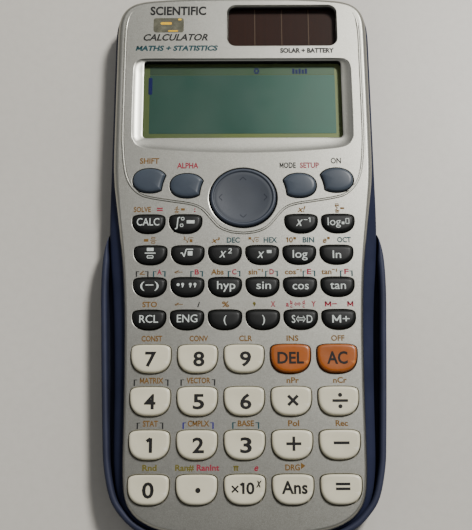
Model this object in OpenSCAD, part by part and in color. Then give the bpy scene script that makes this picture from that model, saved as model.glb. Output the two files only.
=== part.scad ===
// Scientific calculator seated in its slide-on hard case, in millimetres.
// Origin: middle of the underside of the hard case. +X to the right, +Y towards the
// display end, +Z out of the key tops. Lengths along Y are counted from the middle of the
// calculator's body, and every module is moved by body_dy, which centres the whole part.

/* [Body] */
// Length of the calculator body
body_l = 161.5; // [161:0.1:162]
// Widest part of the body, beside the display
body_w = 77; // [76.8:0.1:77.2]
// Height of the printed face above the table
face_z = 11.6; // [11.5:0.05:11.8]
// Thickness of the front plate
plate_t = 1.5; // [1.4:0.05:1.6]
// Thickness of the back cover's floor
floor_t = 1.5; // [1.4:0.05:1.6]
// Thickness of the side walls inside the front plate's outline
wall_t = 1.6; // [1.4:0.1:1.8]

/* [Hard case] */
// How far the closed end stands out beyond the body
case_over = 2.45; // [2.3:0.05:2.8]
// Widest part of the hard case
case_w = 80.4; // [80.3:0.1:80.8]
// Thickness of the hard case's floor
case_floor_t = 1.4; // [1.2:0.05:1.4]
// Thickness of the high side walls
case_wall_t = 1.8; // [1.6:0.1:1.8]
// Top of the high side walls above the table
case_wall_z = 9.6; // [9:0.1:10]
// Running gap between the hard case and the calculator
slide_gap = 0.3; // [0.25:0.05:0.35]
// Where the high side walls end, from the middle of the body
case_wall_y = 4.5; // [3:0.5:5]

/* [Keys] */
// Gap round a key in its well
key_gap = 0.2; // [0.15:0.05:0.25]
// Travel of a key
key_travel = 1; // [0.8:0.1:1.1]
// Height of the small key tops above the table
key_top_z = 12.6; // [12.5:0.1:12.8]
// Height of the number key tops above the table
number_top_z = 12.8; // [12.7:0.1:13]
// Width of the small dark keys
dark_w = 9.1; // [8.9:0.1:9.1]
// Height of the small dark keys
dark_h = 5.8; // [5.6:0.1:5.9]
// Column pitch of the small dark keys
dark_dx = 10.5; // [10.4:0.05:10.6]
// Row pitch of the small dark keys
dark_dy = 9.45; // [9.4:0.05:9.5]
// Width of the number keys
number_w = 11.1; // [10.9:0.1:11.1]
// Height of the number keys
number_h = 7.9; // [7.7:0.1:8]
// Column pitch of the number keys
number_dx = 12.72; // [12.7:0.01:12.74]
// Row pitch of the number keys
number_dy = 11.75; // [11.7:0.05:11.8]
// Width of the four oval keys beside the pad
oval_w = 9.4; // [9.2:0.1:9.4]
// Height of the four oval keys beside the pad
oval_h = 7.4; // [7.2:0.1:7.6]
// Height of the cursor pad's rim above the table
pad_top_z = 12.5; // [12.4:0.1:12.7]
// Width of the cursor pad
pad_w = 19; // [18.8:0.1:19.2]
// Height of the cursor pad
pad_h = 17.8; // [17.6:0.1:18]

/* [Windows] */
// Width of the display opening
display_w = 59.1; // [58.9:0.1:59.3]
// Height of the display opening
display_h = 25.2; // [25:0.1:25.4]
// Width of the bevelled surround of the display
bevel_w = 65.2; // [65:0.1:65.4]
// Width of the solar opening
solar_w = 32.8; // [32.6:0.1:33]
// Height of the solar opening
solar_h = 13.5; // [13.3:0.1:13.7]

/* [Inside] */
// Radius of the screw shanks
screw_r = 0.85; // [0.8:0.05:0.85]
// Radius of the button cell
cell_r = 5.8; // [5.75:0.05:5.8]
// Height of the button cell
cell_h = 5.4; // [5.3:0.1:5.4]
// Thickness of the circuit board
board_t = 1; // [0.8:0.1:1]

/* [Hidden] */
$fn = 48;
eps = 0.01;
body_dy = case_over / 2;
half_l = body_l / 2;
half_w = body_w / 2;
case_half_w = case_w / 2;

// Levels, from the table upwards
z_shell = case_floor_t + slide_gap;
z_floor = z_shell + floor_t;
rail_h = 1.7;
z_ledge = z_floor + rail_h;
z_ledge_in = z_ledge + 1.1;
z_shell_top = face_z - plate_t - 0.1;
z_plate = face_z - plate_t;
flange_t = 0.6;
z_flange = z_plate - 0.3 - flange_t;
z_dome = z_flange - 0.1;
z_membrane = z_flange - key_travel - 1.2;
z_mat = z_membrane - 0.8;
z_board = z_mat - board_t;
z_window = z_plate - 1;
window_t = 0.8;
lcd_t = 1.6;
z_lcd = z_window - 0.5 - lcd_t;

// Straight faces that guide the slide, measured from the centre line
foot_x = 35.2;
groove_x = 33.6;
lip_x = groove_x + 0.4;
rail_x = foot_x + slide_gap;
rail_out_x = 37.2;
lip_l = 52;

// Outline of the front plate's right half, from the display end to the bottom end
plate_side = [
  [0, half_l - 0.35], [16, half_l - 0.5], [27, half_l - 1.15], [31.6, half_l - 1.95],
  [34.2, half_l - 3.2], [36, half_l - 5.1], [37.1, half_l - 7.8], [37.5, half_l - 11.5],
  [half_w - 0.9, 62], [half_w - 0.9, 30], [37.3, 20.5], [36.5, 13.5], [35.3, 4.4],
  [34.3, -4.6], [33.6, -14], [33.1, -26], [32.8, -42], [32.7, -58], [32.5, -65],
  [31.9, -70], [30.4, -73.4], [27.6, -76.2], [22.6, -78.5], [15, -79.8], [7, -80.2],
  [0, 0.5 - half_l]
];

// Widest outline of the back cover's right half, point for point beside the plate's
shell_side = [
  [0, half_l], [16, half_l - 0.15], [27, half_l - 0.75], [32, half_l - 1.5],
  [34.9, half_l - 2.9], [36.8, half_l - 5], [37.9, half_l - 8], [38.4, half_l - 11.7],
  [half_w, 62], [half_w, 30], [half_w, 20.5], [half_w, 13], [38.35, 4.4],
  [37.8, -4.6], [36.9, -14], [36.2, -26], [35.7, -42], [35.4, -58], [34.9, -65],
  [33.9, -70], [32.2, -73.6], [29.1, -76.8], [23.6, -79.1], [15.5, -80.3], [7, -80.65],
  [0, -half_l]
];

// Outer outline of the hard case's right half
case_side = [
  [0, 80.2], [16, 80], [27, 79.3], [32, 78], [34.9, 75.4], [36.4, 71.6], [37.1, 66],
  [rail_out_x, 60], [rail_out_x, 16], [37.4, 11.5], [38.2, 7], [39.2, 3], [39.9, -1.5],
  [case_half_w, -7], [case_half_w, -14], [39.8, -24], [39.1, -40], [38.4, -54],
  [37.8, -62], [36, -70], [33.2, -74.6], [28.9, -78.5], [22, -81.3], [12, -82.8],
  [0, -half_l - case_over]
];

// Key rows: names from left to right
dark_names = [
  ["calc", "integral", "", "", "reciprocal", "log_base"],
  ["fraction", "root", "square", "power", "log", "ln"],
  ["negative", "degrees", "hyp", "sin", "cos", "tan"],
  ["recall", "eng", "open_bracket", "close_bracket", "s_d", "m_plus"]
];
number_names = [
  ["7", "8", "9", "del", "ac"],
  ["4", "5", "6", "times", "divide"],
  ["1", "2", "3", "plus", "minus"],
  ["0", "point", "exp", "ans", "equals"]
];
dark_top_y = 6.1;
dark_top_spread = 0.7;
number_top_y = -33.1;
pad_y = 14.25;

// Oval keys: name, x, y, and the circle that cuts the side nearest the pad
alpha_x = 16.15;
alpha_y = 18;
shift_x = 26.9;
shift_y = 19.6;
alpha_cut = [0, pad_y, 12.3];
shift_cut = [alpha_x, alpha_y, 6.7];
oval_keys = [
  ["shift", -shift_x, shift_y, [-shift_cut[0], shift_cut[1], shift_cut[2]]],
  ["alpha", -alpha_x, alpha_y, alpha_cut],
  ["mode", alpha_x, alpha_y, alpha_cut],
  ["on", shift_x, shift_y, shift_cut]
];

// Every key as [name, x, y, kind, cut]
dark_keys = [
  for (row = [0:3], col = [0:5])
    if (dark_names[row][col] != "")
      let (side = col < 3 ? -1 : 1, spread = row == 0 ? dark_top_spread : 0)
        [dark_names[row][col], (col - 2.5) * dark_dx + side * spread,
         dark_top_y + 0.1 * min(row, 1) - row * dark_dy, "dark", []]
];
number_keys = [
  for (row = [0:3], col = [0:4])
    [number_names[row][col], (col - 2) * number_dx, number_top_y - row * number_dy,
     col > 2 && row == 0 ? "clear" : "number", []]
];
keys = concat(
  [for (k = oval_keys) [k[0], k[1], k[2], "oval", k[3]]],
  dark_keys,
  number_keys
);

// Screws: x, y of the six body screws and of the one in the battery cover
screw_at = [
  for (side = [-1, 1], p = [[31.4, 70.3], [1.5 * number_dx, -27.4], [14, -76]]) [side * p[0], p[1]]
];
cell_at = [-18, 70.5];
cover_screw = [-8.4, 70.5];
screw_head_r = 1.6;
screw_head_t = 1;
cover_t = 0.9;
boss_r = 1.4;
post_r = 2;
seam = 0.05;
rim_wall = 0.6;

// Windows
display_y = 46.1;
solar_x = 12.1;
solar_y = 70.4;
window_lap = 0.8;

function rounded(half_size, r) = [
  for (q = [0:3], i = [0:6])
    let (a = 90 * q + 15 * i, sx = q == 0 || q == 3 ? 1 : -1, sy = q < 2 ? 1 : -1)
      [sx * (half_size[0] - r) + r * cos(a), sy * (half_size[1] - r) + r * sin(a)]
];

// Smooth curve through a list of points, steps pieces to each gap
function curve_point(a, b, c, d, t) =
  0.5 * (2 * b + (c - a) * t + (2 * a - 5 * b + 4 * c - d) * t * t
    + (3 * b - a - 3 * c + d) * t * t * t);
function curve(pts, steps) = concat(
  [
    for (i = [0:len(pts) - 2], k = [0:steps - 1])
      curve_point(pts[max(i - 1, 0)], pts[i], pts[i + 1], pts[min(i + 2, len(pts) - 1)], k / steps)
  ],
  [pts[len(pts) - 1]]
);
function mirrored(side) = concat(side, [for (i = [len(side) - 2:-1:1]) [-side[i][0], side[i][1]]]);
function outline(side) = mirrored(curve(side, 4));

// A clockwise outline moved inwards by d
function inset(pts, d) = [
  for (i = [0:len(pts) - 1])
    let (
      along = pts[(i + 1) % len(pts)] - pts[(i + len(pts) - 1) % len(pts)],
      step = along / norm(along)
    )
      pts[i] + d * [step[1], -step[0]]
];
function blended(a, b, t) = [for (i = [0:len(a) - 1]) a[i] * (1 - t) + b[i] * t];

// Key outline: squarish towards the display end and rounder towards the bottom end
function power_of(v, n) = sign(v) * pow(abs(v), 2 / n);
function key_outline(w, h, up, n_up, n_down, grow) = [
  for (i = [0:35])
    let (a = 10 * i, s = sin(a), above = s >= 0, n = above ? n_up : n_down)
      [(w / 2 + grow) * power_of(cos(a), n),
       ((above ? up : h - up) + grow) * power_of(s, n) + h / 2 - up]
];

module key_shape(kind, grow) {
  if (kind == "oval") polygon(key_outline(oval_w, oval_h, oval_h / 2, 2.3, 2.3, grow));
  if (kind == "dark") polygon(key_outline(dark_w, dark_h, 1.9, 3.6, 2.3, grow));
  if (kind == "number" || kind == "clear")
    polygon(key_outline(number_w, number_h, 2.4, 4, 2.6, grow));
}

// Plan of a key, grown by grow all round, in the calculator's own place
module key_plan(k, grow) {
  difference() {
    translate([k[1], k[2]]) key_shape(k[3], grow);
    if (len(k[4]) > 0) translate([k[4][0], k[4][1]]) circle(r = k[4][2] - grow, $fn = 96);
  }
}

module key(k) {
  top = k[3] == "dark" || k[3] == "oval" ? key_top_z : number_top_z;
  tint = k[3] == "clear" ? "chocolate" : k[3] == "number" ? "ivory"
    : k[3] == "oval" ? "slategray" : "darkslategray";
  color(tint) translate([0, body_dy, 0]) {
    translate([0, 0, z_flange]) linear_extrude(flange_t) intersection() {
      key_plan(k, 0.25 + key_gap);
      polygon(inset(outline(plate_side), rim_wall + 0.4));
    }
    translate([0, 0, z_flange]) linear_extrude(top - 0.4 - z_flange) key_plan(k, 0);
    translate([0, 0, top - 0.5]) linear_extrude(0.5) key_plan(k, -0.5);
  }
}

module pad_plan(grow) {
  polygon([for (i = [0:71]) [(pad_w / 2 + grow) * cos(5 * i), (pad_h / 2 + grow) * sin(5 * i) + pad_y]]);
}

// Cursor pad: rocks under the thumb towards any of its four sides
module replay_pad() {
  pad_low_z = z_flange - 0.8;
  dish_depth = 0.35;
  ring_w = 2.2;
  color("slategray") translate([0, body_dy, pad_low_z]) {
    linear_extrude(0.5) pad_plan(0.5);
    linear_extrude(pad_top_z - 0.3 - pad_low_z) difference() {
      pad_plan(0);
      pad_plan(-ring_w);
    }
    linear_extrude(pad_top_z - pad_low_z) difference() {
      pad_plan(-0.4);
      pad_plan(-ring_w);
    }
    linear_extrude(pad_top_z - dish_depth - pad_low_z) pad_plan(-ring_w);
  }
}

// Rubber post that the pad rocks on
module replay_pivot() {
  color("dimgray") translate([0, body_dy + pad_y, z_membrane + 0.4]) cylinder(r = 2, h = 0.7);
}

module bevel_plan() {
  top_y = display_y + 13.1;
  side_y = display_y - 14.6;
  low_y = display_y - 17.9;
  polygon(mirrored(curve([
    [0, top_y], [16, top_y], [28.5, top_y], [31.2, top_y - 0.5], [32.4, top_y - 2.4],
    [bevel_w / 2, top_y - 7], [bevel_w / 2, side_y + 5], [32.2, side_y + 1.2],
    [30, side_y - 1.2], [24, side_y - 2.2], [12, low_y + 0.3], [0, low_y]
  ], 4)));
}

module wells(grow) {
  for (k = keys) key_plan(k, key_gap + grow);
  pad_plan(0.35 + grow);
}

// Silver front plate, with the key wells, both windows and the screw bosses
module front_case() {
  full = outline(plate_side);
  color("silver") translate([0, body_dy, 0]) {
    difference() {
      union() {
        translate([0, 0, z_plate]) linear_extrude(plate_t - 0.6) difference() {
          polygon(full);
          wells(0);
          translate([0, display_y]) polygon(rounded([display_w, display_h] / 2, 1.5));
          translate([solar_x, solar_y]) polygon(rounded([solar_w, solar_h] / 2, 2.4));
        }
        translate([0, 0, face_z - 0.6]) linear_extrude(0.6) difference() {
          polygon(inset(full, 0.8));
          wells(0);
          bevel_plan();
          translate([solar_x, solar_y]) polygon(rounded([solar_w, solar_h] / 2, 2.4));
        }
        for (p = screw_at) translate([p[0], p[1], z_mat + 0.1])
          cylinder(r = boss_r, h = z_plate - z_mat - 0.1);
      }
      for (p = screw_at) translate([p[0], p[1], z_mat]) cylinder(r = screw_r + 0.05, h = 3.4);
    }
  }
}

// Navy back cover: a tray with a groove along each side that the hard case's lips run in
module back_cover() {
  widest = outline(shell_side);
  inner = inset(outline(plate_side), wall_t);
  shoulder_z = z_ledge + 2.4;
  top_layer_z = shoulder_z + 1.5;
  color("midnightblue") translate([0, body_dy, 0]) {
    difference() {
      union() {
        translate([0, 0, z_shell]) linear_extrude(floor_t) intersection() {
          polygon(inset(widest, 0.5));
          square([2 * foot_x, 2 * half_l], center = true);
        }
        translate([0, 0, z_floor]) linear_extrude(rail_h) intersection() {
          polygon(inset(widest, 1.2));
          square([2 * groove_x, 2 * half_l], center = true);
        }
        translate([0, 0, z_ledge]) linear_extrude(shoulder_z - z_ledge) polygon(widest);
        translate([0, 0, shoulder_z]) linear_extrude(top_layer_z - shoulder_z)
          polygon(blended(widest, outline(plate_side), 0.4));
        translate([0, 0, top_layer_z]) linear_extrude(z_shell_top - top_layer_z)
          polygon(blended(widest, outline(plate_side), 0.8));
      }
      translate([0, 0, z_floor]) linear_extrude(z_ledge_in - z_floor) intersection() {
        polygon(inner);
        square([2 * (groove_x - 1.2), 2 * half_l], center = true);
      }
      translate([0, 0, z_ledge_in - eps]) linear_extrude(z_shell_top) polygon(inner);
      translate([0, 0, z_flange - key_travel - 0.4]) linear_extrude(z_shell_top)
        polygon(inset(outline(plate_side), rim_wall));
      translate([cell_at[0], cell_at[1], 0]) cylinder(r = cell_r + 0.4, h = z_floor + 1);
      translate([cell_at[0] + 2.5, cell_at[1], z_shell - 1]) linear_extrude(1 + cover_t + 0.1)
        polygon(rounded([10.25, 7.65], 2));
      for (p = screw_at) {
        translate([p[0], p[1], z_shell - 1]) cylinder(r = screw_head_r + 0.15, h = 2.15);
        translate([p[0], p[1], z_shell]) cylinder(r = screw_r + 0.1, h = 5);
      }
      translate([cover_screw[0], cover_screw[1], z_shell]) cylinder(r = screw_r + 0.05, h = 5);
    }
    for (p = screw_at) translate([p[0], p[1], z_floor - eps]) difference() {
      cylinder(r = post_r, h = z_board - 0.1 - z_floor + eps);
      translate([0, 0, -1]) cylinder(r = screw_r + 0.1, h = 5);
    }
    translate([cover_screw[0], cover_screw[1], z_floor - eps]) difference() {
      cylinder(r = post_r, h = 3.3);
      translate([0, 0, -1]) cylinder(r = screw_r + 0.05, h = 5);
    }
  }
}

// Cover over the button cell, flush with the back
module battery_cover() {
  color("midnightblue") translate([0, body_dy, 0]) difference() {
    translate([cell_at[0] + 2.5, cell_at[1], z_shell]) linear_extrude(cover_t)
      polygon(rounded([10, 7.4], 1.8));
    translate([cover_screw[0], cover_screw[1], z_shell - 1]) cylinder(r = screw_r + 0.1, h = 3);
    translate([cover_screw[0], cover_screw[1], z_shell - 1])
      cylinder(r = screw_head_r + 0.15, h = 1.5);
    for (i = [-1:1]) translate([cell_at[0] - 5, cell_at[1] + 1.6 * i, z_shell - 1])
      linear_extrude(1.3) square([3, 0.7], center = true);
  }
}

// One screw, head down, with a cross recess
module screw(head_t, shank_l) {
  difference() {
    union() {
      cylinder(r = screw_head_r, h = head_t);
      cylinder(r = screw_r, h = shank_l);
    }
    for (turn = [0, 90]) rotate(turn)
      translate([0, 0, head_t / 4 - eps]) cube([2, 0.45, head_t / 2], center = true);
  }
}

module screws() {
  color("gray") translate([0, body_dy, 0]) {
    for (p = screw_at) translate([p[0], p[1], z_shell + 0.1]) screw(screw_head_t, 7.4);
    translate([cover_screw[0], cover_screw[1], z_shell]) screw(0.45, 4.2);
  }
}

// Hard case: a tray open at the display end, with low rails and, lower down, high walls
module hard_case() {
  outer = outline(case_side);
  inner = inset(outer, case_wall_t);
  seat = inset(outline(shell_side), -0.6);
  ramp_l = 12;
  color("midnightblue") translate([0, body_dy, 0]) {
    difference() {
      linear_extrude(z_ledge - slide_gap) polygon(outer);
      translate([0, 0, case_floor_t]) linear_extrude(face_z) intersection() {
        polygon(seat);
        union() {
          square([2 * rail_x, 2 * half_l + 10], center = true);
          translate([0, 50 + half_l - 6]) square([2 * case_w, 100], center = true);
        }
      }
    }
    // High walls, cut down to the rails by a curved ramp
    intersection() {
      translate([0, 0, case_floor_t]) linear_extrude(case_wall_z - case_floor_t) difference() {
        polygon(outer);
        polygon(inner);
        polygon(inset(outline(shell_side), -slide_gap));
        translate([0, 50 + case_wall_y]) square([2 * case_w, 100], center = true);
      }
      translate([-case_w, 0, 0]) rotate([90, 0, 90]) linear_extrude(2 * case_w) polygon(concat(
        [[-2 * half_l, 0], [-2 * half_l, case_wall_z], [case_wall_y - ramp_l, case_wall_z]],
        [
          for (a = [6:6:90])
            [case_wall_y - ramp_l + ramp_l * sin(a),
             z_ledge - slide_gap - 0.1 + (case_wall_z - z_ledge + slide_gap + 0.1) * cos(a)]
        ],
        [[case_wall_y, 0]]
      ));
    }
    // Lips that run in the back cover's grooves
    for (side = [-1, 1]) translate([side * (lip_x + rail_x + eps) / 2, 0, z_floor + slide_gap])
      linear_extrude(rail_h - 2 * slide_gap)
        square([rail_x - lip_x + eps, 2 * lip_l], center = true);
  }
}

// Clear plate under the display opening
module display_window() {
  color("lightcyan", 0.4) translate([0, body_dy + display_y, z_window]) linear_extrude(window_t)
    polygon(rounded([display_w / 2 + window_lap, display_h / 2 + window_lap], 2));
}

module solar_window() {
  color("lightcyan", 0.4) translate([solar_x, body_dy + solar_y, z_window])
    linear_extrude(window_t)
      polygon(rounded([solar_w / 2 + window_lap, solar_h / 2 + 0.7], 3));
}

// Display glass on a strip of conductive rubber
module lcd_panel() {
  color("darkseagreen") translate([0, body_dy + display_y, 0]) {
    translate([0, 0, z_lcd + lcd_t / 2]) cube([61.6, 29, lcd_t], center = true);
    translate([0, -13, (z_lcd + z_mat) / 2])
      cube([52, 1.6, z_lcd - z_mat - 2 * seam], center = true);
  }
}

module solar_cell() {
  color("maroon") translate([solar_x, body_dy + solar_y, z_window - 0.8])
    linear_extrude(0.6) polygon(rounded([solar_w + 0.8, solar_h + 0.8] / 2, 2));
}

module battery_cell() {
  color("lightgray") translate([cell_at[0], body_dy + cell_at[1], z_floor + 0.1]) {
    cylinder(r = cell_r, h = cell_h * 0.8);
    cylinder(r = cell_r - 1, h = cell_h);
  }
}

// Board with its chip under a blob of resin and the two battery contacts
module circuit_board() {
  board_top_y = 64.2;
  leg_y = board_top_y - 2.4;
  color("darkgreen") translate([0, body_dy, z_board]) linear_extrude(board_t) difference() {
    intersection() {
      polygon(inset(outline(plate_side), wall_t + 0.4));
      translate([0, board_top_y - 100]) square([2 * (groove_x - 1.6), 200], center = true);
    }
    for (p = screw_at) translate(p) circle(r = screw_r + 0.3);
  }
  color("black") translate([0, body_dy - 10, z_board - seam - 0.8])
    cylinder(r1 = 3, r2 = 4.6, h = 0.8);
  color("goldenrod") translate([cell_at[0], body_dy, 0]) {
    translate([-2, leg_y, z_mat + seam]) cube([4, 0.3, z_window - 0.1 - z_mat]);
    translate([-2, leg_y, z_window - 0.35]) cube([4, 8.5, 0.3]);
    translate([-2, board_top_y + seam, z_board]) cube([4, 0.25, 2.6]);
  }
}

// Rubber sheet with a dome under every key and four under the pad
module key_mat() {
  mat_top_y = 27;
  mat_low_y = -73.4;
  color("gainsboro") translate([0, body_dy, 0]) {
    translate([0, 0, z_mat]) linear_extrude(z_membrane - z_mat) difference() {
      intersection() {
        polygon(inset(outline(plate_side), wall_t + 0.6));
        translate([-half_w, mat_low_y]) square([body_w, mat_top_y - mat_low_y]);
      }
      for (p = screw_at) translate(p) circle(r = boss_r + 0.4);
    }
    for (k = keys) translate([k[1], k[2], z_membrane - eps])
      cylinder(r1 = 2.6, r2 = 1.9, h = z_dome - z_membrane + eps);
    for (a = [0:90:270]) translate([6 * cos(a), pad_y + 6 * sin(a), z_membrane - eps])
      cylinder(r1 = 1.6, r2 = 1.2, h = 1.2);
  }
}

key_nodes = [for (k = keys) str("key_", k[0])];
front_case();
back_cover();
hard_case();
display_window();
solar_window();
lcd_panel();
solar_cell();
circuit_board();
key_mat();
battery_cell();
battery_cover();
screws();
replay_pad();
replay_pivot();
for (i = [0:len(keys) - 1]) key(keys[i]);
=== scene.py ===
import math

import bpy
import bmesh
from mathutils import Matrix, Vector
from mathutils.geometry import tessellate_polygon


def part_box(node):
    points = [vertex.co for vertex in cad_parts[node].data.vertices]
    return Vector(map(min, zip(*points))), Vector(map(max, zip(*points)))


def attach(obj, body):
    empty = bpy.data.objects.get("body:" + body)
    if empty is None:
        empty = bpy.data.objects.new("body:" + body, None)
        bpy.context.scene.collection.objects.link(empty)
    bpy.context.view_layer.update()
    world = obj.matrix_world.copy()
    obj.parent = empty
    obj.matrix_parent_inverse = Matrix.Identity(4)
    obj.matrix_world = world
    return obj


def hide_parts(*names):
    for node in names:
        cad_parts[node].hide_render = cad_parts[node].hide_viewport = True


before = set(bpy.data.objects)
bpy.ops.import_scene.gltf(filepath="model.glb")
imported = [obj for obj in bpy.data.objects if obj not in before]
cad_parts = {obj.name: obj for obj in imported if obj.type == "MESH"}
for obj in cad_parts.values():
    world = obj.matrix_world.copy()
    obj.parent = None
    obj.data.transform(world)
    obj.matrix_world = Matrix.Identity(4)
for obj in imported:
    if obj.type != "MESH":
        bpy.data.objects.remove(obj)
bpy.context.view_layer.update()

MM = 0.001
shell_low, shell_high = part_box("back_cover")
BODY_Y = (shell_low.y + shell_high.y) / 2 / MM
HALF_L = (shell_high.y - shell_low.y) / 2 / MM

# Levels above the table, in millimetres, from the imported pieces
FACE_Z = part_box("front_case")[1].z / MM
PLATE_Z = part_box("back_cover")[1].z / MM + 0.1
LCD_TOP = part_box("lcd_panel")[1].z / MM
CELL_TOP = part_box("solar_cell")[1].z / MM
DARK_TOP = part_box("key_sin")[1].z / MM
NUMBER_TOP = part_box("key_5")[1].z / MM
FLANGE_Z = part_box("key_sin")[0].z / MM
PAD_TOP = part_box("replay_pad")[1].z / MM
PAD_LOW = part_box("replay_pad")[0].z / MM
SHELL_Z = shell_low.z / MM
CASE_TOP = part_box("hard_case")[1].z / MM

KEY_GAP = 0.2
PAD_Y = 14.25
PAD_W, PAD_H = 19.0, 17.8
DISPLAY = (0.0, 46.1, 59.1, 25.2)
SOLAR = (12.1, 70.4, 32.8, 13.5)

# Right halves of the outlines, from the display end to the bottom end
PLATE_SIDE = [
    (0, 80.4), (16, 80.25), (27, 79.6), (31.6, 78.8), (34.2, 77.55), (36, 75.65), (37.1, 72.95),
    (37.5, 69.25), (37.6, 62), (37.6, 30), (37.3, 20.5), (36.5, 13.5), (35.3, 4.4),
    (34.3, -4.6), (33.6, -14), (33.1, -26), (32.8, -42), (32.7, -58), (32.5, -65),
    (31.9, -70), (30.4, -73.4), (27.6, -76.2), (22.6, -78.5), (15, -79.8), (7, -80.2),
    (0, -80.25),
]
SHELL_SIDE = [
    (0, 80.75), (16, 80.6), (27, 80), (32, 79.25), (34.9, 77.85), (36.8, 75.75), (37.9, 72.75),
    (38.4, 69.05), (38.5, 62), (38.5, 30), (38.5, 20.5), (38.5, 13), (38.35, 4.4),
    (37.8, -4.6), (36.9, -14), (36.2, -26), (35.7, -42), (35.4, -58), (34.9, -65),
    (33.9, -70), (32.2, -73.6), (29.1, -76.8), (23.6, -79.1), (15.5, -80.3), (7, -80.65),
    (0, -80.75),
]
CASE_SIDE = [
    (0, 80.2), (16, 80), (27, 79.3), (32, 78), (34.9, 75.4), (36.4, 71.6), (37.1, 66),
    (37.2, 60), (37.2, 16), (37.4, 11.5), (38.2, 7), (39.2, 3), (39.9, -1.5), (40.2, -7),
    (40.2, -14), (39.8, -24), (39.1, -40), (38.4, -54), (37.8, -62), (36, -70),
    (33.2, -74.6), (28.9, -78.5), (22, -81.3), (12, -82.8), (0, -83.2),
]
BEVEL_SIDE = [
    (0, 59.2), (16, 59.2), (28.5, 59.2), (31.2, 58.7), (32.4, 56.8), (32.6, 52.2), (32.6, 36.5),
    (32.2, 32.7), (30, 30.3), (24, 29.3), (12, 28.5), (0, 28.2),
]
# Bead round the upper field: it leaves the sides below the display and dips round the pad
BEAD_SIDE = [
    (0, 78.2), (16, 78.1), (26, 77.75), (30.4, 77), (32.8, 75.8), (34.2, 73.8), (34.9, 71),
    (35.2, 67), (35.25, 60), (35.25, 36), (35, 30), (34.6, 25.5), (33.8, 21.3), (32.3, 18),
    (29.6, 15.4), (26.4, 14.3), (21, 13.35), (14.8, 12.3), (11.7, 10.8), (9.4, 8.2),
    (6.9, 5.4), (3.6, 3.9), (0, 3.45),
]


def curve_point(a, b, c, d, t):
    return tuple(
        0.5 * (2 * q + (r - p) * t + (2 * p - 5 * q + 4 * r - s) * t * t
               + (3 * q - p - 3 * r + s) * t ** 3)
        for p, q, r, s in zip(a, b, c, d)
    )


def outline(side, steps=4):
    """A closed outline from its right half, smoothed between the points."""
    half = []
    for i in range(len(side) - 1):
        a, b = side[max(i - 1, 0)], side[i]
        c, d = side[i + 1], side[min(i + 2, len(side) - 1)]
        half += [curve_point(a, b, c, d, k / steps) for k in range(steps)]
    half.append(side[-1])
    return half + [(-x, y) for x, y in reversed(half[1:-1])]


def inset(loop, depth):
    """The loop moved inwards by depth, which is a number or a function of the point."""
    moved = []
    n = len(loop)
    for i, (x, y) in enumerate(loop):
        ax, ay = loop[i - 1]
        bx, by = loop[(i + 1) % n]
        length = math.hypot(bx - ax, by - ay) or 1
        d = depth(x, y) if callable(depth) else depth
        moved.append((x + d * (by - ay) / length, y - d * (bx - ax) / length))
    return moved


def blended(a, b, t):
    return [(p[0] + (q[0] - p[0]) * t, p[1] + (q[1] - p[1]) * t) for p, q in zip(a, b)]


def clamped(loop, limit):
    return [(max(-limit, min(limit, x)), y) for x, y in loop]


def shrunk(loop, centre, factor):
    cx, cy = centre
    return [(cx + (x - cx) * factor, cy + (y - cy) * factor) for x, y in loop]


def circle(cx, cy, r, n=32):
    return [(cx + r * math.cos(2 * math.pi * i / n), cy + r * math.sin(2 * math.pi * i / n))
            for i in range(n)]


def rounded(cx, cy, w, h, r, n=10):
    loop = []
    for q in range(4):
        sx = 1 if q in (0, 3) else -1
        sy = 1 if q < 2 else -1
        for i in range(n + 1):
            a = math.radians(90 * q + 90 * i / n)
            loop.append((cx + sx * (w / 2 - r) + r * math.cos(a),
                         cy + sy * (h / 2 - r) + r * math.sin(a)))
    return loop


def smooth_step(low, high, v):
    t = max(0.0, min(1.0, (v - low) / (high - low)))
    return t * t * (3 - 2 * t)


def ray_hit(loop, centre, angle):
    """Where a ray from the centre leaves the loop."""
    cx, cy = centre
    dx, dy = math.cos(angle), math.sin(angle)
    best = 0
    n = len(loop)
    for i in range(n):
        ax, ay = loop[i][0] - cx, loop[i][1] - cy
        bx, by = loop[(i + 1) % n][0] - cx, loop[(i + 1) % n][1] - cy
        sa, sb = dx * ay - dy * ax, dx * by - dy * bx
        if (sa > 0) == (sb > 0) or sa == sb:
            continue
        t = sa / (sa - sb)
        best = max(best, dx * (ax + (bx - ax) * t) + dy * (ay + (by - ay) * t))
    return cx + dx * best, cy + dy * best


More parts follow.
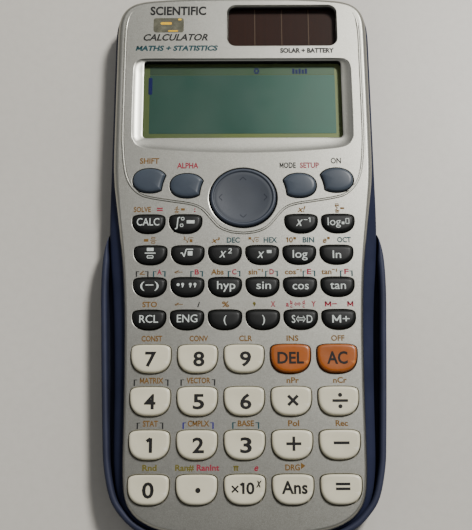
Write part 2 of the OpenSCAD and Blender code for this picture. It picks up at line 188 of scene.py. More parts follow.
class Shape:
    """Points and faces in millimetres, measured from the middle of the calculator's body."""

    def __init__(self):
        self.points, self.faces, self.looks = [], [], []

    def ring(self, loop, z):
        start = len(self.points)
        self.points += [(x, y, z(x, y) if callable(z) else z) for x, y in loop]
        return list(range(start, len(self.points)))

    def face(self, ids, look=0):
        self.faces.append(tuple(ids))
        self.looks.append(look)

    def skin(self, rings, look=0):
        for a, b in zip(rings, rings[1:]):
            n = len(a)
            for i in range(n):
                j = (i + 1) % n
                self.face((a[i], a[j], b[j], b[i]), look)

    def cap(self, loops, look=0):
        """A flat face bounded by the first loop, with the others as holes."""
        flat = [i for loop in loops for i in loop]
        polygons = [[Vector((self.points[i][0], self.points[i][1], 0)) for i in loop]
                    for loop in loops]
        for tri in tessellate_polygon(polygons):
            self.face([flat[i] for i in tri], look)

    def dome(self, ring, centre, z):
        top = len(self.points)
        self.points.append((centre[0], centre[1], z))
        for i, point in enumerate(ring):
            self.face((point, ring[(i + 1) % len(ring)], top))

    def block(self, loop, low, high, look=0, round_off=0.0):
        """A closed plate of that outline; the top edge is eased by round_off."""
        rings = [self.ring(loop, low), self.ring(loop, high - round_off)]
        if round_off:
            centre = (sum(x for x, y in loop) / len(loop), sum(y for x, y in loop) / len(loop))
            for part, drop in ((0.3, 0.3), (1, 0)):
                eased = drawn_in(loop, centre, round_off * part)
                rings.append(self.ring(eased, high - round_off * drop))
        self.skin(rings, look)
        self.cap([rings[0]], look)
        self.cap([rings[-1]], look)

    def make(self, name, materials, body, slot, replaces=(), angle=35, tidy=True, crisp=False):
        mesh = bpy.data.meshes.new(name)
        mesh.from_pydata([(x * MM, (y + BODY_Y) * MM, z * MM) for x, y, z in self.points], [],
                         self.faces)
        for m in materials:
            mesh.materials.append(m)
        mesh.polygons.foreach_set("material_index", self.looks)
        if tidy:
            bm = bmesh.new()
            bm.from_mesh(mesh)
            bmesh.ops.remove_doubles(bm, verts=bm.verts, dist=2e-6)
            bmesh.ops.dissolve_degenerate(bm, edges=bm.edges, dist=1e-6)
            bmesh.ops.recalc_face_normals(bm, faces=bm.faces)
            bm.to_mesh(mesh)
            bm.free()
        mesh.shade_smooth()
        mesh.set_sharp_from_angle(angle=math.radians(angle))
        if crisp:
            level = {}
            for polygon in mesh.polygons:
                for edge_key in polygon.edge_keys:
                    level.setdefault(edge_key, set()).add(abs(polygon.normal.z) > 0.99999)
            for edge in mesh.edges:
                edge.use_edge_sharp = edge.use_edge_sharp or len(level[edge.key]) == 2
        piece = bpy.data.objects.new(name, mesh)
        bpy.context.scene.collection.objects.link(piece)
        if tidy:
            weighted = piece.modifiers.new("even_shading", "WEIGHTED_NORMAL")
            weighted.keep_sharp = True
        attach(piece, body)
        if replaces:
            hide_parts(*replaces)
        return piece


def drawn_in(loop, centre, depth):
    """A convex loop moved towards its centre by depth."""
    moved = []
    for x, y in loop:
        length = math.hypot(x - centre[0], y - centre[1]) or 1
        f = (length - depth) / length
        moved.append((centre[0] + (x - centre[0]) * f, centre[1] + (y - centre[1]) * f))
    return moved


# ---------------------------------------------------------------- materials

def rgb(hex_code):
    """Scene-linear colour from an sRGB hex code."""
    values = [int(hex_code[i:i + 2], 16) / 255 for i in (0, 2, 4)]
    return tuple(v / 12.92 if v <= 0.04045 else ((v + 0.055) / 1.055) ** 2.4
                 for v in values) + (1,)


def ramp_node(nodes, links, fac, stops):
    """Colour ramp with stops of (position, colour), driven by fac."""
    node = nodes.new("ShaderNodeValToRGB")
    elements = node.color_ramp.elements
    while len(elements) < len(stops):
        elements.new(0.5)
    for element, (at, colour) in zip(elements, stops):
        element.position = at
        element.color = colour
    links.new(fac, node.inputs["Fac"])
    return node.outputs["Color"]


class Look:
    """A node material that starts as object coordinates and a Principled shader."""

    def __init__(self, name):
        self.material = bpy.data.materials.new(name)
        self.material.use_nodes = True
        self.nodes = self.material.node_tree.nodes
        self.links = self.material.node_tree.links
        self.shader = self.nodes["Principled BSDF"]
        self.coords = self.nodes.new("ShaderNodeTexCoord").outputs["Object"]

    def set(self, **values):
        for key, value in values.items():
            self.shader.inputs[key.replace("_", " ")].default_value = value

    def noise(self, scale, detail=3, rough=0.5, coords=None):
        node = self.nodes.new("ShaderNodeTexNoise")
        node.inputs["Scale"].default_value = scale
        node.inputs["Detail"].default_value = detail
        node.inputs["Roughness"].default_value = rough
        self.links.new(coords or self.coords, node.inputs["Vector"])
        return node.outputs["Fac"]

    def ramp(self, fac, stops):
        return ramp_node(self.nodes, self.links, fac, stops)

    def span(self, fac, low, high, from_low=0.0, from_high=1.0):
        node = self.nodes.new("ShaderNodeMapRange")
        node.inputs["From Min"].default_value = from_low
        node.inputs["From Max"].default_value = from_high
        node.inputs["To Min"].default_value = low
        node.inputs["To Max"].default_value = high
        self.links.new(fac, node.inputs["Value"])
        return node.outputs["Result"]

    def mix(self, fac, a, b):
        node = self.nodes.new("ShaderNodeMix")
        node.data_type = "RGBA"
        for socket, value in ((node.inputs[0], fac), (node.inputs[6], a), (node.inputs[7], b)):
            if isinstance(value, bpy.types.NodeSocket):
                self.links.new(value, socket)
            else:
                socket.default_value = value
        return node.outputs[2]

    def bump(self, height, strength, distance):
        node = self.nodes.new("ShaderNodeBump")
        node.inputs["Strength"].default_value = strength
        node.inputs["Distance"].default_value = distance
        self.links.new(height, node.inputs["Height"])
        self.links.new(node.outputs["Normal"], self.shader.inputs["Normal"])

    def along_x(self):
        node = self.nodes.new("ShaderNodeSeparateXYZ")
        self.links.new(self.coords, node.inputs[0])
        return node.outputs[0]

    def to(self, socket, value):
        self.links.new(value, self.shader.inputs[socket])

    def clouded(self, fac, a, b, low=0.35, high=0.65):
        """Colour that drifts between two hex colours with a noise."""
        return self.mix(self.span(fac, 0, 1, low, high), rgb(a), rgb(b))

    def roughness(self, fac, low, high):
        self.to("Roughness", self.span(fac, low, high, 0.3, 0.7))


# Depth of relief in metres: moulded grain, and the finer one of paint, ink and film
GRAIN_DEPTH = 0.00002
FILM_DEPTH = 0.00001


def plastic(name, light, dark, rough=(0.35, 0.5), grain=2600, cloud=90, bump=0.12, metallic=0.0,
            edge_highlight=0.0, edge_highlight_colour="", specular=0.5):
    """Moulded plastic: slow shade clouds, a fine spark grain and, where asked, painted edge
    highlights.
    """
    look = Look(name)
    fine = look.noise(grain, 2, 0.6)
    slow = look.noise(cloud, 3, 0.55)
    colour = look.clouded(slow, light, dark)
    if edge_highlight:
        # Painted highlight: the sharp convex edges are lightened towards the given lighter colour.
        geometry = look.nodes.new("ShaderNodeNewGeometry")
        edge = look.span(geometry.outputs["Pointiness"], 0, edge_highlight, 0.52, 0.6)
        colour = look.mix(edge, colour, rgb(edge_highlight_colour))
    look.to("Base Color", colour)
    look.roughness(fine, *rough)
    look.bump(fine, bump, GRAIN_DEPTH)
    look.set(Metallic=metallic, Specular_IOR_Level=specular)
    return look.material


def silver_paint():
    """Silver lacquer on plastic: metal flakes and a faint cloud."""
    look = Look("silver_paint")
    flake = look.noise(5200, 2, 0.7)
    cloud = look.noise(38, 3, 0.5)
    colour = look.clouded(cloud, "a9a8a0", "a09f96")
    colour = look.mix(look.span(flake, 0, 0.35, 0.45, 0.75), colour, rgb("d6d5ce"))
    colour = look.mix(look.span(flake, 0.25, 0, 0.25, 0.45), colour, rgb("7d7b74"))
    look.to("Base Color", colour)
    look.roughness(flake, 0.34, 0.42)
    look.bump(flake, 0.06, FILM_DEPTH)
    look.set(Metallic=1.0)
    return look.material


def printed(name, colour, rough=0.55):
    """Screen-printed ink with slightly uneven cover."""
    look = Look(name)
    cover = look.noise(2400, 3, 0.6)
    base = rgb(colour)
    thin = tuple(min(1, c * 1.25 + 0.004) for c in base[:3]) + (1,)
    look.to("Base Color", look.mix(look.span(cover, 0, 1, 0.35, 0.7), base, thin))
    look.roughness(cover, rough - 0.08, rough + 0.08)
    look.bump(cover, 0.08, FILM_DEPTH)
    look.set(Specular_IOR_Level=0.25)
    return look.material


def clear_plate():
    """Clear moulded plate: light passes it, and its surface mirrors faintly at low angles."""
    look = Look("clear_plate")
    nodes, links = look.nodes, look.links
    nodes.remove(look.shader)
    see = nodes.new("ShaderNodeBsdfTransparent")
    see.inputs["Color"].default_value = (0.93, 0.95, 0.94, 1)
    shine = nodes.new("ShaderNodeBsdfGlossy")
    smear = look.span(look.noise(60, 3, 0.6), 0.03, 0.09, 0.35, 0.65)
    links.new(smear, shine.inputs["Roughness"])
    fresnel = nodes.new("ShaderNodeFresnel")
    fresnel.inputs["IOR"].default_value = 1.3
    mix = nodes.new("ShaderNodeMixShader")
    links.new(fresnel.outputs[0], mix.inputs[0])
    links.new(see.outputs[0], mix.inputs[1])
    links.new(shine.outputs[0], mix.inputs[2])
    links.new(mix.outputs[0], nodes["Material Output"].inputs["Surface"])
    return look.material


# Half the width of the display's painted reflection, which brightens it from left to right, in
# metres
LCD_HALF_W = 0.0285


def lcd_glass(name, *reflection_shades):
    """Liquid crystal glass: a painted reflection that lightens it from left to right, and a fine
    row pattern.
    """
    look = Look(name)
    stops = [(i / (len(reflection_shades) - 1), rgb(reflection_shade)) for i, reflection_shade in enumerate(reflection_shades)]
    # Painted reflection: the colours run from dark on the left to light on the right.
    across = look.span(look.along_x(), 0, 1, -LCD_HALF_W, LCD_HALF_W)
    colour = look.ramp(across, stops)
    rows = look.nodes.new("ShaderNodeTexWave")
    rows.bands_direction = "Y"
    rows.inputs["Scale"].default_value = 700
    look.links.new(look.coords, rows.inputs["Vector"])
    cloud = look.noise(70, 2, 0.5)
    colour = look.mix(look.span(cloud, 0, 0.25, 0.4, 0.7), colour, rgb("33463a"))
    colour = look.mix(look.span(rows.outputs["Fac"], 0, 0.08), colour, rgb("20302a"))
    look.to("Base Color", colour)
    look.roughness(cloud, 0.3, 0.4)
    look.bump(rows.outputs["Fac"], 0.05, FILM_DEPTH)
    return look.material


def solar_film(name, colour, light):
    """Amorphous solar film: deep brown with faint vertical streaks under glass."""
    look = Look(name)
    stretch = look.nodes.new("ShaderNodeCombineXYZ")
    look.links.new(look.along_x(), stretch.inputs[0])
    streak = look.noise(1500, 2, 0.5, stretch.outputs[0])
    look.to("Base Color", look.clouded(streak, colour, light, 0.4, 0.7))
    look.roughness(streak, 0.4, 0.5)
    look.set(Specular_IOR_Level=0.15)
    return look.material


def hologram_foil():
    """Metal foil with a fine square grid and pale glints."""
    look = Look("hologram_foil")
    grid = look.nodes.new("ShaderNodeTexBrick")
    grid.inputs["Scale"].default_value = 900
    grid.inputs["Mortar Size"].default_value = 0.04
    grid.inputs["Color1"].default_value = rgb("5f5e4f")
    grid.inputs["Color2"].default_value = rgb("6e6c5c")
    grid.inputs["Mortar"].default_value = rgb("504f41")
    look.links.new(look.coords, grid.inputs["Vector"])
    glint = look.noise(420, 1, 0.3)
    colour = look.mix(look.span(glint, 0, 0.4, 0.6, 0.8), grid.outputs["Color"], rgb("8e8a72"))
    look.to("Base Color", colour)
    look.roughness(glint, 0.28, 0.42)
    look.bump(grid.outputs["Fac"], 0.2, FILM_DEPTH)
    look.set(Metallic=0.5)
    return look.material


def steel(name, colour):
    """Plated steel with fine turning marks."""
    look = Look(name)
    rings = look.noise(3500, 2, 0.5)
    look.to("Base Color", look.mix(rings, rgb(colour), rgb("8c8c88")))
    look.roughness(rings, 0.22, 0.4)
    look.bump(rings, 0.1, FILM_DEPTH)
    look.set(Metallic=1.0)
    return look.material


def floor_paint():
    """Smooth pale table top with faint clouds and a low sheen."""
    look = Look("table_top")
    cloud = look.noise(5, 4, 0.55)
    fine = look.noise(420, 3, 0.6)
    colour = look.clouded(cloud, "c6c2b9", "bdb9b0")
    colour = look.mix(look.span(fine, 0, 0.12, 0.4, 0.7), colour, rgb("9f9b92"))
    look.to("Base Color", colour)
    look.roughness(cloud, 0.42, 0.5)
    look.bump(fine, 0.03, 0.00005)
    return look.material


SILVER = silver_paint()
# The lighter edge colours given below are painted edge highlights.
NAVY = plastic("navy_shell", "272b40", "212538", rough=(0.62, 0.74), grain=4200, bump=0.1,
               edge_highlight=0.2, edge_highlight_colour="4a5272", specular=0.08)
NAVY_CASE = plastic("navy_case", "262a3d", "202333", rough=(0.55, 0.68), grain=4200, bump=0.12,
                    edge_highlight=0.3, edge_highlight_colour="4a5070", specular=0.25)
DARK_LINER = plastic("dark_liner", "15130f", "0e0d0b", rough=(0.5, 0.65))
# The plate's underside is silver; the dark grey given to it here is painted shade.
UNDERSIDE_SHADE = plastic("plate_underside_shade", "3a3935", "302f2c", rough=(0.55, 0.7))
DARK_KEY = plastic("dark_key", "080a09", "060706", rough=(0.42, 0.54), grain=3600, bump=0.08,
                   specular=0.28, edge_highlight=0.4, edge_highlight_colour="303331")
IVORY_KEY = plastic("ivory_key", "cfc9b0", "c5bfa6", rough=(0.32, 0.44), grain=3400, bump=0.06,
                    edge_highlight=0.4, edge_highlight_colour="e2dfd4")
ORANGE_KEY = plastic("orange_key", "964b00", "884400", rough=(0.3, 0.42), grain=3400, bump=0.06,
                     edge_highlight=0.4, edge_highlight_colour="da8a4c")
SLATE_KEY = plastic("slate_key", "3a424c", "323a44", rough=(0.34, 0.44), grain=3600, bump=0.06,
                    specular=0.3, edge_highlight=0.4, edge_highlight_colour="7d8794")
PAD_SKIN = plastic("pad_skin", "29303b", "232a34", rough=(0.46, 0.58), grain=4200, bump=0.12,
                   edge_highlight=0.4, edge_highlight_colour="737d94")
CLEAR = clear_plate()
# Each display colour runs from dark to light, left to right: painted reflection.
LCD_EDGE = lcd_glass("lcd_edge", "5c6634", "868c50")
LCD_FIELD = lcd_glass("lcd_field", "274b40", "2c5147", "426e5f")
LCD_STATUS = lcd_glass("lcd_status", "2f432e", "4f684a")
LCD_INK = printed("lcd_ink", "0a1150", 0.4)
SOLAR_SKIN = solar_film("solar_skin", "2a0b00", "331002")
SOLAR_LINE = solar_film("solar_line", "5b4638", "6b5545")
FOIL = hologram_foil()
GLINT = plastic("gold_glint", "f2cf3a", "ffb52a", rough=(0.2, 0.3), grain=3000, cloud=900,
                metallic=0.3)
BOARD_GREEN = plastic("board_green", "2c5a36", "234a2c", rough=(0.35, 0.5), cloud=500)
MAT_RUBBER = plastic("mat_rubber", "3d3d3b", "333331", rough=(0.7, 0.85), grain=1800)
CELL_STEEL = steel("cell_steel", "c3c3bf")
SCREW_STEEL = steel("screw_steel", "9b9b98")
COVER_PLASTIC = plastic("cover_plastic", "262e58", "1e254a", rough=(0.34, 0.46), grain=4200,
                        bump=0.12, edge_highlight=0.3, edge_highlight_colour="465080")
POST_RUBBER = plastic("post_rubber", "2a2a2a", "222222", rough=(0.7, 0.85))

INKS = {name: printed("ink_" + name, colour) for name, colour in (
    ("gold", "64460f"), ("red", "80182c"), ("black", "0f0f10"), ("grey", "33322f"),
    ("teal", "03363c"), ("purple", "1a1666"), ("olive", "5a520e"), ("white", "b4bab5"),
    ("key", "0d0c0b"), ("clear_key", "080402"), ("arrow", "1c212c"),
)}
INK_NAMES = list(INKS)

CARRIED = {
    "display_window": CLEAR, "solar_window": CLEAR, "solar_cell": SOLAR_SKIN,
    "lcd_panel": LCD_EDGE, "circuit_board": BOARD_GREEN, "key_mat": MAT_RUBBER,
    "battery_cell": CELL_STEEL, "battery_cover": COVER_PLASTIC, "screws": SCREW_STEEL,
    "replay_pivot": POST_RUBBER,
}
for node, material in CARRIED.items():
    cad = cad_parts[node]
    if not cad.material_slots:
        cad.data.materials.append(material)
    for slot in cad.material_slots:
        slot.material = material

# ---------------------------------------------------------------- keys

# Width, height, reach up from the centre, and squareness of the upper and lower half
KINDS = {
    "oval": (9.8, 7.4, 3.7, 2.15, 2.2),
    "dark": (9.1, 5.5, 1.8, 3.6, 2.3),
    "number": (10.85, 7.9, 2.4, 4.0, 2.6),
}
DARK_DX, DARK_DY, DARK_FIRST_Y = 10.5, 9.45, 6.22
NUMBER_DX, NUMBER_DY, NUMBER_FIRST_Y = 12.72, 11.75, -33.1
PAD_SPREAD = 0.7
DARK_ROWS = [
    ["calc", "integral", "", "", "reciprocal", "log_base"],
    ["fraction", "root", "square", "power", "log", "ln"],
    ["negative", "degrees", "hyp", "sin", "cos", "tan"],
    ["recall", "eng", "open_bracket", "close_bracket", "s_d", "m_plus"],
]
NUMBER_ROWS = [
    ["7", "8", "9", "del", "ac"],
    ["4", "5", "6", "times", "divide"],
    ["1", "2", "3", "plus", "minus"],
    ["0", "point", "exp", "ans", "equals"],
]
ALPHA_AT = (16.15, 18.0)
SHIFT_AT = (26.9, 19.6)
PAD_CUT = (0, PAD_Y, 12.7)

KEYS = {
    "shift": (-SHIFT_AT[0], SHIFT_AT[1], "oval", (-9.4, 15.2, 14.3)),
    "alpha": (-ALPHA_AT[0], ALPHA_AT[1], "oval", PAD_CUT),
    "mode": (ALPHA_AT[0], ALPHA_AT[1], "oval", PAD_CUT),
    "on": (SHIFT_AT[0], SHIFT_AT[1], "oval", (9.4, 15.2, 14.3)),
}
for row, names in enumerate(DARK_ROWS):
    for col, name in enumerate(names):
        if name:
            spread = math.copysign(PAD_SPREAD, col - 2.5) if row == 0 else 0
            y = DARK_FIRST_Y + 0.1 * min(row, 1) - row * DARK_DY
            KEYS[name] = ((col - 2.5) * DARK_DX + spread, y, "dark", None)
for row, names in enumerate(NUMBER_ROWS):
    for col, name in enumerate(names):
        y = NUMBER_FIRST_Y - row * NUMBER_DY
        KEYS[name] = ((col - 2) * NUMBER_DX, y, "number", None)


def key_loop(key, grow, points=96):
    """Outline of a key grown by grow: squarish on the display side, rounder on the other."""
    x0, y0, kind, cut = key
    w, h, up, n_up, n_down = KINDS[kind]
    loop = []
    for i in range(points):
        a = -2 * math.pi * i / points
        c, s = math.cos(a), math.sin(a)
        n = n_up if s >= 0 else n_down
        reach = (up if s >= 0 else h - up) + grow
        x = x0 + (w / 2 + grow) * math.copysign(abs(c) ** (2 / n), c)
        y = y0 + reach * math.copysign(abs(s) ** (2 / n), s) + h / 2 - up
        if cut:
            r = math.hypot(x - cut[0], y - cut[1])
            if r < cut[2] - grow:
                f = (cut[2] - grow) / r
                x, y = cut[0] + (x - cut[0]) * f, cut[1] + (y - cut[1]) * f
        loop.append((x, y))
    return loop


def key_centre(key):
    """Middle of the key's crown."""
    return key[0], key[1] + (0.4 if key[2] == "dark" else 0.0)


# Height of the crown above the shoulder, and how far it is rounded in from the edge
CROWNS = {
    "oval": ((0, -1.15), (-0.05, -0.8), (-0.17, -0.5), (-0.38, -0.27), (-0.7, -0.14)),
    "dark": ((0, -1.3), (-0.05, -0.95), (-0.16, -0.6), (-0.36, -0.33), (-0.68, -0.15)),
    "number": ((0, -0.95), (-0.04, -0.62), (-0.13, -0.36), (-0.3, -0.17), (-0.56, -0.07)),
}
INNER = {
    "oval": ((0.86, -0.1), (0.62, -0.04), (0.32, -0.01)),
    "dark": ((0.9, -0.1), (0.65, -0.05), (0.34, -0.03)),
    "number": ((0.93, -0.05), (0.66, -0.09), (0.34, -0.11)),
}
CENTRE_DROP = {"oval": 0.0, "dark": 0.02, "number": 0.12}


def crown_height(kind, x, y):
    """Height of the key top at x, y from the key's centre."""
    w, h = KINDS[kind][:2]
    f = min(1.0, math.hypot(x / (w / 2), y / (h / 2)))
    drops = [(0.0, -CENTRE_DROP[kind])] + [(s * 0.88, d) for s, d in reversed(INNER[kind])]
    for (a, da), (b, db) in zip(drops, drops[1:]):
        if f <= b:
            return da + (db - da) * (f - a) / (b - a)
    return drops[-1][1]


def key_top(kind):
    return NUMBER_TOP if kind == "number" else DARK_TOP


FLANGE_W, FLANGE_T, FLANGE_LIMIT = 0.4, 0.58, 31.4


def build_key(name):
    key = KEYS[name]
    kind = key[2]
    top = key_top(kind)
    shape = Shape()
    centre = key_centre(key)
    flange = clamped(key_loop(key, FLANGE_W), FLANGE_LIMIT)
    rings = [shape.ring(flange, FLANGE_Z + 0.02), shape.ring(flange, FLANGE_Z + FLANGE_T),
             shape.ring(key_loop(key, 0), FLANGE_Z + FLANGE_T)]
    rings += [shape.ring(key_loop(key, grow), top + drop) for grow, drop in CROWNS[kind]]
    edge = key_loop(key, CROWNS[kind][-1][0])
    rings += [shape.ring(shrunk(edge, centre, f), top + drop) for f, drop in INNER[kind]]
    shape.skin(rings)
    shape.cap([rings[0]])
    shape.dome(rings[-1], centre, top - CENTRE_DROP[kind])
    material = {"oval": SLATE_KEY, "dark": DARK_KEY, "number": IVORY_KEY}[kind]
    slot = {"oval": "slate_key", "dark": "dark_key", "number": "ivory_key"}[kind]
    if name in ("del", "ac"):
        material, slot = ORANGE_KEY, "orange_key"
    node = "key_" + name
    return shape.make("cap_" + name, [material], node, slot, (node,), angle=50)


for name in KEYS:
    build_key(name)

# ---------------------------------------------------------------- cursor pad


def ellipse(grow, n=120):
    return [((PAD_W / 2 + grow) * math.cos(2 * math.pi * i / n),
             (PAD_H / 2 + grow) * math.sin(2 * math.pi * i / n) + PAD_Y) for i in range(n)]


PAD_PROFILE = [
    (0.45, PAD_LOW + 0.02), (0.45, PAD_LOW + 0.48), (0, PAD_LOW + 0.48), (0, PAD_TOP - 0.85),
    (-0.06, PAD_TOP - 0.5), (-0.2, PAD_TOP - 0.2), (-0.42, PAD_TOP - 0.06), (-0.64, PAD_TOP),
    (-0.84, PAD_TOP - 0.04), (-1.0, PAD_TOP - 0.16), (-1.1, PAD_TOP - 0.28),
    (-1.22, PAD_TOP - 0.31), (-1.4, PAD_TOP - 0.29), (-2.2, PAD_TOP - 0.36),
    (-3.6, PAD_TOP - 0.5), (-5.2, PAD_TOP - 0.6), (-7.0, PAD_TOP - 0.66),
]
PAD_CENTRE_Z = PAD_TOP - 0.67


def pad_height(x, y):
    r = math.hypot(x / (PAD_W / 2), (y - PAD_Y) / (PAD_H / 2)) * PAD_W / 2 - PAD_W / 2
    for (a, za), (b, zb) in zip(PAD_PROFILE[3:], PAD_PROFILE[4:]):
        if b <= r <= a:
            return za + (zb - za) * (a - r) / (a - b)
    return PAD_CENTRE_Z


pad = Shape()
pad_rings = [pad.ring(ellipse(grow), z) for grow, z in PAD_PROFILE]
pad.skin(pad_rings)
pad.cap([pad_rings[0]])
pad.dome(pad_rings[-1], (0, PAD_Y), PAD_CENTRE_Z)
pad.make("pad_cap", [PAD_SKIN], "replay_pad", "pad_plastic", ("replay_pad",), angle=50)

# ---------------------------------------------------------------- front plate

plate = Shape()
plate_loop = outline(PLATE_SIDE)
bead_loop = outline(BEAD_SIDE)


def edge_inset(x, y):
    """Width of the rounded edge: broad beside the display, narrow beside the keys."""
    return 0.95 + 0.5 * smooth_step(4, 26, y)


def scaled_inset(loop, part):
    return inset(loop, lambda x, y: part * edge_inset(x, y))


EDGE_RISE = FACE_Z - PLATE_Z
EDGE_PROFILE = [
    (0.0, 0.0), (0.0, 0.12), (0.08, 0.32), (0.24, 0.54), (0.48, 0.76), (0.72, 0.91), (0.9, 0.98),
    (1.0, 1.0),
]
edge_rings = [plate.ring(scaled_inset(plate_loop, part), PLATE_Z + rise * EDGE_RISE)
              for part, rise in EDGE_PROFILE]
plate.skin(edge_rings)

BEAD_PROFILE = [
    (-0.4, 0.0), (-0.35, -0.26), (-0.27, -0.26), (-0.2, 0.02), (-0.1, 0.07), (0.1, 0.07),
    (0.2, 0.02), (0.27, -0.3), (0.37, -0.3), (0.44, 0.0),
]


def bead_share(y):
    """How much of the bead stands: all of it, fading out near the display end."""
    return 1 - smooth_step(70, 75.5, y)


bead_rings = []
for offset, rise in BEAD_PROFILE:
    bead = inset(bead_loop, lambda x, y: offset * (0.35 + 0.65 * bead_share(y)))
    bead_rings.append(plate.ring(bead, lambda x, y: FACE_Z + rise * bead_share(y)))
plate.skin(bead_rings)


def well(loops):
    """A hole in the plate: eased edge at the face, wall down to the underside."""
    top, mid, wall = loops
    rings = [plate.ring(top, FACE_Z), plate.ring(mid, FACE_Z - 0.05),
             plate.ring(wall, FACE_Z - 0.22), plate.ring(wall, PLATE_Z)]
    plate.skin(rings[:3])
    plate.skin(rings[2:], 1)
    return rings[0], rings[-1]


upper_tops, lower_tops, bottoms = [], [], []
for name, key in KEYS.items():
    top, low = well([key_loop(key, KEY_GAP + g) for g in (0.15, 0.05, 0.0)])
    (upper_tops if key[2] == "oval" else lower_tops).append(top)
    bottoms.append(low)
top, low = well([ellipse(g) for g in (0.58, 0.42, 0.35)])
upper_tops.append(top)
bottoms.append(low)
solar_rings = [plate.ring(rounded(SOLAR[0], SOLAR[1], SOLAR[2] + g, SOLAR[3] + g, 2.4 + g / 2),
                          FACE_Z - drop)
               for g, drop in ((0.7, 0.0), (0.5, 0.06), (0.1, 0.55), (-0.1, 0.75))]
plate.skin(solar_rings)
solar_foot = rounded(SOLAR[0], SOLAR[1], SOLAR[2] - 0.1, SOLAR[3] - 0.1, 2.35)
solar_wall = [solar_rings[-1], plate.ring(solar_foot, PLATE_Z)]
plate.skin(solar_wall, 1)
upper_tops.append(solar_rings[0])
bottoms.append(solar_wall[-1])

# Display surround: a broad bevel that arches at the bottom, then a dark wall
bevel_outer = outline(BEVEL_SIDE, 6)
opening = rounded(DISPLAY[0], DISPLAY[1], DISPLAY[2], DISPLAY[3], 1.2)
bevel_centre = (DISPLAY[0], DISPLAY[1])
angles = sorted({round(math.atan2(y - bevel_centre[1], x - bevel_centre[0]), 4)
                 for x, y in bevel_outer + opening})
outer_hits = [ray_hit(bevel_outer, bevel_centre, a) for a in angles]
inner_hits = [ray_hit(opening, bevel_centre, a) for a in angles]
BEVEL_PROFILE = [
    (0.0, 0.0), (0.04, 0.05), (0.13, 0.26), (0.26, 0.5), (0.42, 0.69), (0.62, 0.84), (0.82, 0.94),
    (0.96, 1.0), (1.0, 1.06),
]


def bevel_depth(y):
    """How far the bevel falls: little along the top edge, more at the sides and bottom."""
    return 0.9 - 0.15 * smooth_step(54, 58, y)


bevel_rings = [plate.ring(blended(outer_hits, inner_hits, t),
                          lambda x, y: FACE_Z - d * bevel_depth(y))
               for t, d in BEVEL_PROFILE]
plate.skin(bevel_rings)
liner = [bevel_rings[-1], plate.ring(inner_hits, PLATE_Z)]
plate.skin(liner, 1)
upper_tops.append(bevel_rings[0])
bottoms.append(liner[-1])

plate.cap([edge_rings[-1], bead_rings[0]] + lower_tops)
plate.cap([bead_rings[-1]] + upper_tops)
# The underside, round its holes, takes the dark grey of painted shade.
plate.cap([edge_rings[0]] + bottoms, 2)
plate.make("face_plate", [SILVER, DARK_LINER, UNDERSIDE_SHADE], "calculator", "silver_plate",
           ("front_case",), angle=40, crisp=True)

# ---------------------------------------------------------------- back cover

shell_loop = outline(SHELL_SIDE)
tray = Shape()
TRAY_TOP = PLATE_Z - 0.08
LEDGE_Z = 4.9
FLOOR_Z = 3.2
FOOT_X, GROOVE_X = 35.2, 33.6
OUTER_WALL = [
    (1.0, TRAY_TOP), (0.96, 9.75), (0.86, 9.4), (0.68, 9.0), (0.44, 8.6), (0.22, 8.2),
    (0.07, 7.8), (0.0, 7.3), (0.0, 6.5), (0.0, 5.2),
]
tray_rings = [tray.ring(blended(shell_loop, plate_loop, t), z) for t, z in OUTER_WALL]
tray_rings.append(tray.ring(inset(shell_loop, 0.2), LEDGE_Z))
tray_rings += [tray.ring(clamped(inset(shell_loop, d), limit), z) for d, limit, z in (
    (1.2, GROOVE_X, LEDGE_Z), (1.2, GROOVE_X, FLOOR_Z), (0.5, FOOT_X, FLOOR_Z),
    (0.5, FOOT_X, SHELL_Z + 0.35), (0.62, FOOT_X - 0.1, SHELL_Z + 0.1),
    (0.9, FOOT_X - 0.35, SHELL_Z))]
tray.skin(tray_rings)
SCREW_R, SCREW_DEPTH = 1.75, 1.1
SCREWS = [(side * x, y) for side in (-1, 1) for x, y in ((31.4, 70.3), (19.08, -27.4), (14, -76))]
COVER_RECESS, COVER_DEPTH = rounded(-15.5, 70.5, 20.5, 15.3, 2.0), 1.0
recesses = []
for loop, depth in ([(circle(x, y, SCREW_R), SCREW_DEPTH) for x, y in SCREWS]
                    + [(COVER_RECESS, COVER_DEPTH)]):
    mouth = tray.ring(loop, SHELL_Z)
    floor = tray.ring(loop, SHELL_Z + depth)
    tray.skin([mouth, floor])
    tray.cap([floor])
    recesses.append(mouth)
tray.cap([tray_rings[-1]] + recesses)
SEAT_Z, RIB_Z, RIB_X = 7.8, 6.0, 32.4
rim_loop, inner_loop = inset(plate_loop, 0.62), inset(plate_loop, 1.6)
inside = [tray.ring(loop, z) for loop, z in (
    (rim_loop, TRAY_TOP), (rim_loop, SEAT_Z), (inner_loop, SEAT_Z), (inner_loop, RIB_Z),
    (clamped(inner_loop, RIB_X), RIB_Z), (clamped(inner_loop, RIB_X), FLOOR_Z))]
tray.skin([tray_rings[0]] + inside)
tray.cap([inside[-1]])
tray.make("back_shell", [NAVY], "calculator", "navy_shell", ("back_cover",), angle=40, crisp=True)

# ---------------------------------------------------------------- hard case

case_loop = outline(CASE_SIDE)
case = Shape()
RAIL_TOP = 4.6
FLOOR_TOP = 1.4
RAIL_X = 35.5
RAMP_Y, RAMP_L = 5.3, 13.0
OPEN_Y = HALF_L - 6


def rim_height(y):
    """Top of the wall: low rails beside the display, a ramp, then the high wall."""
    if y > OPEN_Y - 3:
        return FLOOR_TOP + (RAIL_TOP - FLOOR_TOP) * smooth_step(0, 3, OPEN_Y - y)
    if y >= RAMP_Y:
        return RAIL_TOP
    if y <= RAMP_Y - RAMP_L:
        return CASE_TOP
    share = (y - RAMP_Y + RAMP_L) / RAMP_L
    return RAIL_TOP - 0.05 + (CASE_TOP - RAIL_TOP + 0.05) * math.sqrt(max(0, 1 - share * share))


